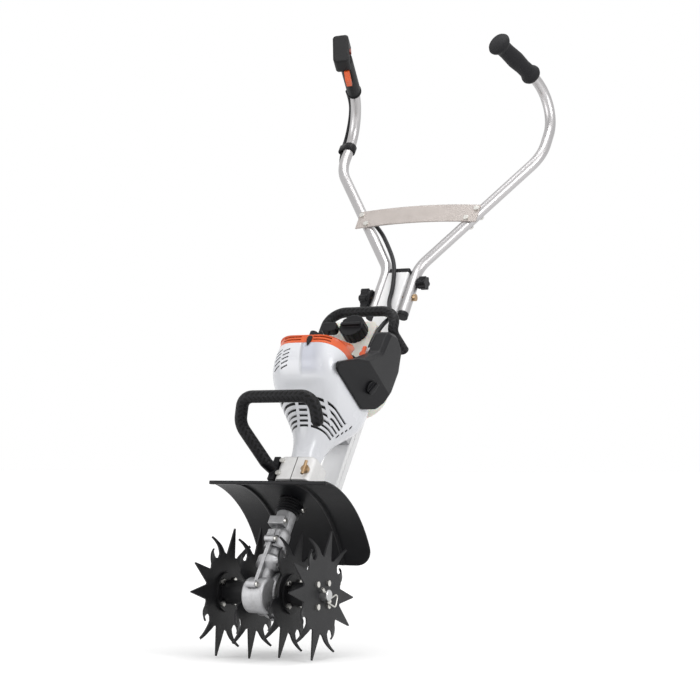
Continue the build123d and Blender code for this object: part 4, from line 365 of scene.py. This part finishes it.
upright = np.array(HANDLE_CORNERS) / 1000 + AXLE_MIDDLE
line, radii = domed(bar_line(upright, HANDLE_BENDS, SLEEVE_STEP), HANDLE_RADIUS)
handle_sleeve = skin("front_handle_sleeve", line, radii, SLEEVE_SIDES, HANDLE_ASIDE, material=pitted_sleeve)
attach(handle_sleeve, "frame")
CLAMP_DULL, CLAMP_BRIGHT, SPLIT_BLACK = (0.66, 0.655, 0.65), (0.9, 0.89, 0.88), (0.06, 0.06, 0.06)
SPLIT_HALF = (0.0004, 0.0011)
pale_casting, place = new_finish("pale_casting")
sand = grain(place, scale=900, detail=3, rough=0.6)
patch = grain(place, scale=90, detail=5, rough=0.6)
across = place.add("ShaderNodeSeparateXYZ", {}, {0: place})
split = 1 - fade(across.maths("ABSOLUTE", across), *SPLIT_HALF)
metal = tint(0.4 * sand + 0.6 * patch, CLAMP_DULL, CLAMP_BRIGHT)
close_finish(
    place, tint(split, metal, SPLIT_BLACK), roughness=0.4 + 0.2 * patch,
    height=0.2 * sand + 0.16 * patch - split, depth=0.0012, edge=0.005, Metallic=0.35,
)
YELLOW_DULL, YELLOW_BRIGHT = (0.3, 0.19, 0.1), (0.5, 0.36, 0.22)
passivated, place = new_finish("yellow_passivated")
hue = grain(place, scale=260, detail=3)
close_finish(
    place, tint(hue, YELLOW_DULL, YELLOW_BRIGHT), roughness=0.3 + 0.16 * grain(place, scale=150, detail=3),
    height=hue, depth=0.00005, Metallic=1.0,
)
dress(pale_casting, "clamp_base", "clamp_cap")
dress(passivated, "clamp_t_screw")
dress(black_moulding, "front_handle")


# Rail and engine carrier: an extruded aluminium box profile with a groove down each side, sawn to length and
# plugged with plastic at both ends. A cast block bolts the engine on it.
RAIL_DULL, RAIL_BRIGHT = (0.78, 0.78, 0.785), (0.88, 0.88, 0.88)
anodised, place = new_finish("anodised_rail")
streaks = grain(along_rail(place, stretch=(900, 7, 900)), scale=1, detail=3)
dulled = grain(place, scale=20, detail=4)
close_finish(
    place, tint(0.6 * streaks + 0.4 * dulled, RAIL_DULL, RAIL_BRIGHT), roughness=0.42 + 0.2 * streaks,
    height=streaks, depth=0.00006, Metallic=0.1,
)
dress(anodised, "main_rail")
dress(black_moulding, "rail_caps")
dress(casting, "engine_carrier")


# Engine: a two stroke with a cast crankcase, a finned cylinder, a bladed flywheel and a shoe clutch in a cup,
# and a pressed muffler in heat proof black on the blind side. The cowl and its screen hide nearly all of it.
SOOT_BLACK, SOOT_GREY = (0.03, 0.03, 0.03), (0.11, 0.11, 0.11)
dark_casting, place = new_finish("oiled_casting")
soot = grain(place, scale=45, detail=5)
close_finish(
    place, tint(soot, SOOT_BLACK, SOOT_GREY), roughness=0.4 + 0.25 * soot,
    height=grain(place, scale=700, detail=3), depth=0.00025, Metallic=0.7,
)
RUBBER_BLACK, RUBBER_BLOOM = (0.008, 0.008, 0.009), (0.018, 0.018, 0.02)
black_rubber, place = new_finish("black_rubber")
bloom = grain(place, scale=26, detail=5)
close_finish(
    place, tint(bloom, RUBBER_BLACK, RUBBER_BLOOM), roughness=0.55 + 0.2 * bloom,
    height=grain(place, scale=1300), depth=0.00018, IOR=1.3,
)
dress(dark_casting, "crankcase", "cylinder", "flywheel_fan", "clutch_shoes", "clutch_drum")
dress(turned_steel, "crankshaft", "spark_plug")
dress(tine_paint, "muffler")
dress(black_rubber, "plug_boot")


# Cowl: a white glossy moulding that widens from a neck on the tube to a hood over the cylinder, with slots
# round the cone and a scoop in its right shoulder. A black sheet inside the cowl behind the slots is painted
# shade, and black rods sunk in the right wall are painted shade for two slots and four short slits, with
# white webs between the slits.
def lean(points):
    """World metres of points in the leaning frame, in millimetres. It stands on the axle's middle and is
    turned by LEAN about x, so that y goes up the rail and z away from it."""
    x, y, z = np.asarray(points, float).T / 1000
    back = y * np.cos(LEAN) - z * np.sin(LEAN)
    up = y * np.sin(LEAN) + z * np.cos(LEAN)
    return np.stack([x, back, up], -1) + AXLE_MIDDLE


def wrapped(rows, columns):
    """Faces and face corner UVs of a grid that closes on itself both ways: row i runs to i + 1, column j to
    j + 1."""
    i, j = (grid.ravel() for grid in np.meshgrid(np.arange(rows), np.arange(columns), indexing="ij"))
    ahead, after = (i + 1) % rows, (j + 1) % columns
    quads = np.stack([i * columns + j, ahead * columns + j, ahead * columns + after, i * columns + after], -1)
    along = np.stack([i, i + 1, i + 1, i], -1) / rows
    around = np.stack([j, j, j + 1, j + 1], -1) / columns
    return quads.tolist(), np.stack([along, around], -1).reshape(-1, 2)


def sunk_rod(name, line, radius, sides, finish):
    """Rod along a line in the leaning frame, sunk in the cowl's wall so that a strip of its skin shows."""
    radii = np.full(len(line), radius / 1000)
    rod = skin(name, lean(line), radii, sides, aside=(1, 0, 0), material=finish)
    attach(rod, "frame")


COWL_WHITE, SCOOP_SHADE, SLOT_PAINTED_SHADE = (0.82, 0.83, 0.86), (0.6, 0.615, 0.69), (0.02, 0.02, 0.022)
SCOOP_X, SCOOP_SLOPE = 0.0633, 0.155
SCOOP_NEAR, SCOOP_FAR, SCOOP_FOOT = (-0.005, 0.004), (0.018, 0.054), (0.362, 0.38)
SLOT_OPENNESS = (0.7, 0.4)
white_gloss, place = new_finish("white_gloss")
back, up = AXLE_MIDDLE[1:]
axle_place = (0, -back * np.cos(LEAN) - up * np.sin(LEAN), back * np.sin(LEAN) - up * np.cos(LEAN))
turned = {"Vector": place, "Rotation": (-LEAN, 0, 0), "Location": axle_place}
x = place.add("ShaderNodeSeparateXYZ", {}, {0: place.add("ShaderNodeMapping", {}, turned)})
y = x.output(1)
inside = x - (SCOOP_X - SCOOP_SLOPE * y)
scoop = fade(inside, *SCOOP_NEAR) * (1 - fade(inside, *SCOOP_FAR)) * fade(y, *SCOOP_FOOT)
haze = grain(place, scale=12, detail=4)
# The scoop's bluish grey is painted shade, on top of the bump that sinks it. The haze is the moulding's own
# uneven tone.
shell = tint(0.9 * scoop + 0.2 * haze, COWL_WHITE, SCOOP_SHADE)
# Where the cowl's own shape closes round, in the slots, it goes black: painted shade.
shaded = fade(openness(place, reach=0.006), *SLOT_OPENNESS)
close_finish(
    place, tint(shaded, shell, SLOT_PAINTED_SHADE), roughness=0.2 + 0.12 * haze,
    height=0.01 * grain(place, scale=420) - scoop, depth=0.008, Coat_Weight=0.25, Coat_Roughness=0.12,
    IOR=1.5,
)
dress(white_gloss, "engine_cowl")

# The screen's rows are rounded rectangles, smaller than the cowl's by the inset: a quarter circle of points
# at each corner, joined by straight sides. The outer skin goes up the cone and the inner one comes back down.
# A row of the cowl's is its y, half width, lowest z, highest z and corner radius.
COWL_ROWS = np.array([(286, 29, 9, 76, 27), (326, 48, -8, 106, 40), (362, 65, -23, 150, 40)], float)
SCREEN_INSET, SCREEN_WALL = 5.0, 1.2
SCREEN_RUN, SCREEN_ROWS, SCREEN_SIDES = (296, 352), 15, 64
levels = np.linspace(*SCREEN_RUN, SCREEN_ROWS)
along = np.concatenate([levels, levels[::-1]])
inset = np.repeat([SCREEN_INSET, SCREEN_INSET + SCREEN_WALL], SCREEN_ROWS)
half, low, high, corner = (np.interp(along, COWL_ROWS[:, 0], column) for column in COWL_ROWS.T[1:])
across, up, corner = half - inset, (high - low) / 2 - inset, (corner - inset)[:, None]
middle = ((high + low) / 2)[:, None]
turn = (np.arange(SCREEN_SIDES) + 0.5) * 2 * np.pi / SCREEN_SIDES
loop_x = np.sign(np.cos(turn)) * (across[:, None] - corner) + corner * np.cos(turn)
loop_z = middle + np.sign(np.sin(turn)) * (up[:, None] - corner) + corner * np.sin(turn)
shape = np.stack([loop_x, np.broadcast_to(along[:, None], loop_x.shape), loop_z], -1)
grid = wrapped(len(along), SCREEN_SIDES)
# The screen is a black sheet of painted shade inside the slots.
screen = piece("vent_shade_screen", lean(shape.reshape(-1, 3)), *grid, black_moulding)
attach(screen, "frame")

# A vent's black rod, painted shade for the slot, follows the wall: up the side to the knee, and from there on
# a circle of the corner's radius.
BAR_RADIUS, BAR_SIDES, BAR_SINK = 2.8, 16, (1.95, -1.12, 0)
VENT_FOOT, VENT_STEPS = 40.0, 14
for name, level, side, knee, corner, top in (
    ("side_vent_shade_low", 317.8, 43.2, 59.0, 37.0, 63.0),
    ("side_vent_shade_high", 324.8, 47.3, 65.0, 39.0, 77.0),
):
    z = np.linspace(top, VENT_FOOT, VENT_STEPS)
    x = side - corner + np.sqrt(corner ** 2 - np.maximum(z - knee, 0) ** 2)
    line = np.stack([x, np.full(VENT_STEPS, level), z], -1) - BAR_SINK
    sunk_rod(name, line, BAR_RADIUS, BAR_SIDES, black_moulding)

# The short slits are black rods of painted shade up the sloping wall, and each white web lies in it between
# two of them, square to both.
SLITS = np.array([(43.3, 318, 33), (48.0, 326, 30), (52.7, 334, 27), (57.1, 342, 24)])
WEBS = np.array([(45.6, 322, 31.5), (50.4, 330, 28.5), (55.0, 338, 25.5)])
UP_WALL, OFF_WALL, ACROSS_WALL = np.array([(0.5, 0.866, 0), (0.866, -0.5, 0), (0, 0, 1)])
SLIT_HALF, SLIT_SINK = 2.6, 2.2
WEB_HALF, WEB_SINK, WEB_RADIUS, WEB_SIDES = 3.6, 3.0, 3.4, 24
ROD_STEPS = np.linspace(-1, 1, 6)[:, None]
for k, spot in enumerate(SLITS - SLIT_SINK * OFF_WALL):
    line = spot + SLIT_HALF * ROD_STEPS * UP_WALL
    sunk_rod(f"short_slit_shade_{k + 1}", line, BAR_RADIUS, BAR_SIDES, black_moulding)
for k, spot in enumerate(WEBS - WEB_SINK * OFF_WALL):
    line = spot - WEB_HALF * ROD_STEPS * ACROSS_WALL
    sunk_rod(f"slit_web_{k + 1}", line, WEB_RADIUS, WEB_SIDES, white_gloss)


# Top cover: a glossy orange hood moulded with slots, which sits on top of the cowl and over the starter. A
# black rubber catch, shaped like a drop, sits on the seam between hood and cowl.
ORANGE_DEEP, ORANGE_BRIGHT = (0.68, 0.09, 0.015), (0.82, 0.135, 0.03)
orange_gloss, place = new_finish("orange_gloss")
haze = grain(place, scale=15, detail=4)
close_finish(
    place, tint(haze, ORANGE_DEEP, ORANGE_BRIGHT), roughness=0.26 + 0.12 * haze,
    height=grain(place, scale=420), depth=0.00006, Coat_Weight=0.2, IOR=1.5,
)
dress(orange_gloss, "top_cover")

# At angle a up the drop, the height is -cos(a) and the girth is sin(a) to a power, times a share that grows
# with the height. Both are then stretched to the drop's half sizes, and the faces are turned to look out.
CATCH_MIDDLE, CATCH_HALF = (9.7, 428.5, 173.5), (7.4, 11.5, 4.0)
CATCH_POWER, CATCH_WAIST, CATCH_SWELL = 0.8, 0.62, 0.38
CATCH_ROWS, CATCH_SIDES = 19, 32
turn = np.linspace(0, 2 * np.pi, CATCH_SIDES, endpoint=False)
around, up = np.meshgrid(turn, np.linspace(0, np.pi, CATCH_ROWS + 2)[1:-1])
girth = np.sin(up) ** CATCH_POWER * (CATCH_WAIST - CATCH_SWELL * np.cos(up))
shape = np.stack([girth * np.cos(around), -np.cos(up), girth * np.sin(around)], -1)
points = np.concatenate([shape.reshape(-1, 3), [(0, -1, 0), (0, 1, 0)]]) * CATCH_HALF + CATCH_MIDDLE
quads, near, far = capped(CATCH_ROWS, CATCH_SIDES)
faces = quads[:, [0, 3, 2, 1]].tolist() + near[:, [0, 2, 1]].tolist() + far[:, [0, 2, 1]].tolist()
corners = np.zeros((quads.size + near.size + far.size, 2))
catch = piece("seam_catch", lean(points), faces, corners, black_rubber)
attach(catch, "frame")


# Air filter cover, carburettor and choke: a black grained cover on the right held by a twist knob, over a die
# cast carburettor with an orange choke lever on top.
dress(black_moulding, "air_filter_cover", "filter_knob")
dress(casting, "carburettor")
dress(orange_gloss, "choke_lever")


# Recoil starter: a round housing on the back of the crankcase and a pull grip on its rope, both moulded in
# black plastic with the same grain as the filter cover.
dress(black_moulding, "starter_housing", "starter_grip")


# Fuel tank and loop handle: a blow moulded translucent tank, its black screw cap, and a bent loop round the
# back of it under the same pitted sleeve as the front handle.
MILK_WARM, MILK_PALE = (0.83, 0.75, 0.68), (0.9, 0.85, 0.79)
milky_tank, place = new_finish("milky_tank")
flow = grain(place, scale=14, detail=4)
close_finish(
    place, tint(flow, MILK_WARM, MILK_PALE), roughness=0.34 + 0.12 * flow, height=grain(place, scale=300),
    depth=0.0001, Subsurface_Weight=0.25, Subsurface_Scale=0.01, IOR=1.5,
)
dress(milky_tank, "fuel_tank")
dress(black_moulding, "fuel_cap", "rear_handle")
LOOP_CORNERS = ((-71, 512, 24), (-71, 620, 24), (71, 620, 24), (75, 570, 22), (79, 567, -32))
LOOP_BENDS, LOOP_RADIUS = (0.034, 0.034, 0.014), 0.0099
LOOP_ASIDE = lean((500, 900, 800)) - AXLE_MIDDLE
line = bar_line(lean(LOOP_CORNERS), LOOP_BENDS, SLEEVE_STEP)
radii = np.full(len(line), LOOP_RADIUS)
loop_sleeve = skin("rear_handle_sleeve", line, radii, SLEEVE_SIDES, LOOP_ASIDE, material=pitted_sleeve)
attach(loop_sleeve, "frame")


# Handlebar: two bent aluminium tubes, plugged at their low ends, turn on a yellow passivated bolt through the
# rail. A pressed aluminium plate with zinc plated bolts ties them, and a knob nut and a knob stud lock the
# fold.
PLATE_DULL, PLATE_PALE = (0.4, 0.36, 0.335), (0.53, 0.485, 0.46)
ROLL_STRETCH = (10, 420, 420)
pressed_plate, place = new_finish("pressed_plate")
rolled = place.add("ShaderNodeMapping", {}, {"Vector": place, "Scale": ROLL_STRETCH})
roll = grain(rolled, scale=1, detail=3)
worn = grain(place, scale=45, detail=4)
close_finish(
    place, tint(0.15 * roll + 0.75 * worn, PLATE_DULL, PLATE_PALE), roughness=0.42 + 0.12 * worn,
    height=roll, depth=0.000006, edge=0.0016, Metallic=0.6,
)
dress(drawn_aluminium, "left_tube", "right_tube")
dress(black_moulding, "tube_end_caps", "left_knob", "right_knob")
dress(pressed_plate, "cross_brace")
dress(passivated, "pivot_bolt")
dress(zinc, "brace_bolts")


# Grip and throttle control: a swelled rubber grip pushed on the right tube, and on the left a black moulded
# shell with an orange trigger, a lockout under the palm and a red brown stop switch.
SWITCH_DARK, SWITCH_BRIGHT = (0.2, 0.04, 0.03), (0.3, 0.07, 0.05)
red_gloss, place = new_finish("red_brown_gloss")
haze = grain(place, scale=60, detail=3)
close_finish(
    place, tint(haze, SWITCH_DARK, SWITCH_BRIGHT), roughness=0.32 + 0.1 * haze,
    height=grain(place, scale=900), depth=0.00008, IOR=1.5,
)
SHELL_DEEP, SHELL_WORN = (0.003, 0.003, 0.0035), (0.01, 0.01, 0.011)
shell_black, place = new_finish("shell_black")
worn = grain(place, scale=24, detail=5)
close_finish(
    place, tint(worn, SHELL_DEEP, SHELL_WORN), roughness=0.42 + 0.2 * worn, height=grain(place, scale=1200),
    depth=0.0001, edge=0.006, IOR=1.3,
)
dress(shell_black, "throttle_housing", "throttle_lockout")
dress(orange_gloss, "throttle_trigger")
dress(red_gloss, "stop_switch")

# The grip's radius goes straight from one place along it to the next, and a running mean rounds the turns.
GRIP_FOOT, GRIP_RUN = lean((202.03, 1225.66, 38.27)), lean((-0.267, -0.142, 0.95316)) - AXLE_MIDDLE
GRIP_PLACES = (-9, -6, 0, 5, 10, 26, 50, 80, 95, 99, 105, 110, 112)
GRIP_RADII = (17, 20.5, 21, 19, 16.4, 16, 18, 16.4, 16.6, 21, 24.5, 24, 20)
GRIP_SIDES, GRIP_MEAN = 48, 7
step = np.arange(GRIP_PLACES[0], GRIP_PLACES[-1] + 1)
swell = np.pad(np.interp(step, GRIP_PLACES, GRIP_RADII), GRIP_MEAN // 2, mode="edge")
swell = np.convolve(swell, np.ones(GRIP_MEAN) / GRIP_MEAN, mode="valid")
line = GRIP_FOOT + step[:, None] * GRIP_RUN
grip = skin("right_grip_skin", line, swell / 1000, GRIP_SIDES, aside=(1, 0, 0), material=black_rubber)
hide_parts("right_grip")
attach(grip, "handlebar")


# Throttle cable: a steel cable in a black plastic sheath, from the control down the left tube through a clip,
# behind the tube and over the rail to the carburettor.
ROUTE_STEPS, ROUTE_ORDER = 14, 3


def routed(points):
    """Points along a smooth line whose control points are the route's."""
    curve = bpy.data.curves.new("route", "CURVE")
    curve.dimensions = "3D"
    curve.resolution_u = ROUTE_STEPS
    spline = curve.splines.new("NURBS")
    spline.points.add(len(points) - 1)
    spline.points.foreach_set("co", np.concatenate([points, np.ones((len(points), 1))], -1).ravel())
    spline.order_u = ROUTE_ORDER
    spline.use_endpoint_u = True
    holder = bpy.data.objects.new("route", curve)
    mesh = bpy.data.meshes.new_from_object(holder)
    line = np.empty(3 * len(mesh.vertices))
    mesh.vertices.foreach_get("co", line)
    bpy.data.objects.remove(holder)
    bpy.data.curves.remove(curve)
    bpy.data.meshes.remove(mesh)
    return line.reshape(-1, 3)


CABLE_ROUTE = (
    (-217.4, 1226, 38), (-226, 1233, 2), (-240, 1224, -36), (-246, 1184, -57), (-246, 1148, -58),
    (-241, 1106, -66), (-221, 1058, -73), (-167, 986, -74), (-98, 928, -74), (-42, 848, -50), (-10, 794, -40),
    (3, 735, -40.6), (5, 690, -40.6), (44, 638, -12), (56, 586, 30), (57, 530, 50), (58, 501, 50),
)
CABLE_RADIUS, CABLE_SIDES = 0.0043, 16
SHEATH_DEEP, SHEATH_WIPED = (0.006, 0.006, 0.007), (0.016, 0.016, 0.018)
sheath, place = new_finish("cable_sheath")
wipe = grain(place, scale=80, detail=4)
close_finish(
    place, tint(wipe, SHEATH_DEEP, SHEATH_WIPED), roughness=0.38 + 0.18 * wipe,
    height=grain(place, scale=900), depth=0.0001, IOR=1.3,
)
line = routed(lean(CABLE_ROUTE))
radii = np.full(len(line), CABLE_RADIUS)
cable = skin("throttle_cable_sheath", line, radii, CABLE_SIDES, aside=(1, 0, 0), material=sheath)
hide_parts("throttle_cable")
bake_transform(cable)


# Cable clip: one black nylon band round the left tube and the cable, drawn tight between them. In each
# direction it lies on the eye that reaches further, and its rim is carried round that outline.
CLIP_Y, CLIP_HALF, CLIP_WALL, CLIP_SIDES = 1148, 9, 2.8, 72
CLIP_EYES, CLIP_REACH = np.array([(-229, -58), (-246, -58)]), np.array([11.2, 4.7])
CLIP_RIM = np.array([(0, -1), (0, 1), (0.6, 1), (1, 0.8), (1, -0.8), (0.6, -1)]) * (CLIP_WALL, CLIP_HALF)
turn = np.linspace(0, 2 * np.pi, CLIP_SIDES, endpoint=False)
way = np.stack([np.cos(turn), np.sin(turn)], -1)
far = np.argmax(way @ CLIP_EYES.T + CLIP_REACH, axis=1)
flat = CLIP_EYES[far][:, None] + (CLIP_REACH[far][:, None] + CLIP_RIM[:, 0])[..., None] * way[:, None]
height = CLIP_Y + np.broadcast_to(CLIP_RIM[:, 1], flat.shape[:2])
band = np.stack([flat[..., 0], height, flat[..., 1]], -1)
grid = wrapped(CLIP_SIDES, len(CLIP_RIM))
clip = piece("cable_clip", lean(band.reshape(-1, 3)), *grid, black_moulding)
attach(clip, "handlebar")


# Studio: a pale floor that keeps the shadow, three soft lamps, from the right, from the front left and from
# above, and a long lens at knee height that looks slightly up.
def direct_ray(place):
    """1 for a ray from the camera, off a mirror or through glass, and 0 for any other."""
    seen = place.add("ShaderNodeLightPath", {}, {}, "Is Camera Ray")
    rays = seen + seen.output("Is Glossy Ray") + seen.output("Is Transmission Ray")
    return rays.maths("MINIMUM", rays, 1.0)


def stand(name, data, spot, back):
    """Lamp or camera at spot that looks the other way from back: its right is level and square to back, and
    its top is square to both."""
    back = np.asarray(back) / np.linalg.norm(back)
    right = np.cross((0, 0, 1), back)
    right /= np.linalg.norm(right)
    turn = np.eye(4)
    turn[:3] = np.stack([right, np.cross(back, right), back, spot], -1)
    made = bpy.data.objects.new(name, data)
    bpy.context.scene.collection.objects.link(made)
    made.matrix_world = Matrix(turn.tolist())
    return made


FLOOR_GREY, FLOOR_REACH = (0.86, 0.86, 0.86, 1), 40.0
GLOW_NEAR, GLOW_MORE, GLOW_RUN = 0.3, 0.4, (0.6, 2.6)
floor_paint, place = new_finish("studio_floor")
away = place.add("ShaderNodeVectorMath", {"operation": "LENGTH"}, {0: place}, "Value")
lift = direct_ray(place) * (GLOW_NEAR + GLOW_MORE * fade(away, *GLOW_RUN))
paper = place.add("ShaderNodeBsdfPrincipled", {}, {
    "Base Color": FLOOR_GREY, "Roughness": 0.9, "Emission Color": tint(lift, (0, 0, 0), (1, 1, 1)),
    "Emission Strength": 1.0,
})
place.add("ShaderNodeOutputMaterial", {}, {"Surface": paper})
flat = FLOOR_REACH * np.array([(-1, -1), (1, -1), (1, 1), (-1, 1)])
square = np.column_stack([flat, np.full(len(flat), float(cad_box[0][2]))])
floor = piece("studio_floor", square, [[0, 1, 2, 3]], flat, floor_paint)

ROOM_LIGHT = 0.36
room = bpy.data.worlds.new("studio")
bpy.context.scene.world = room
room.use_nodes = True
room.node_tree.nodes.clear()
air = Wire(room.node_tree)
strength = ROOM_LIGHT + (1 - ROOM_LIGHT) * direct_ray(air)
glow = air.add("ShaderNodeBackground", {}, {"Color": (1, 1, 1, 1), "Strength": strength})
air.add("ShaderNodeOutputWorld", {}, {"Surface": glow})

LAMP_AIM = (0, 0.1, 0.55)
for name, spot, size, power in (
    ("key", (2.9, -1.2, 1.8), 1.4, 42.0),
    ("fill", (-1.9, -2.6, 1.3), 2.0, 34.0),
    ("top", (0.3, 0.2, 3.0), 1.6, 36.0),
):
    lamp = bpy.data.lights.new(name, "AREA")
    lamp.size = size
    lamp.energy = power
    stand(name, lamp, spot, np.subtract(spot, LAMP_AIM))

CAMERA_SPOT = (1.806512, -3.458896, 0.347675)
CAMERA_SWING, CAMERA_RISE = np.radians(27.8), np.radians(-3.0)
level = np.cos(CAMERA_RISE)
back = (np.sin(CAMERA_SWING) * level, -np.cos(CAMERA_SWING) * level, np.sin(CAMERA_RISE))
lens = bpy.data.cameras.new("camera")
lens.lens = 105.74
lens.sensor_width = 36.0
bpy.context.scene.camera = stand("camera", lens, CAMERA_SPOT, back)
bpy.context.scene.view_settings.view_transform = "Standard"
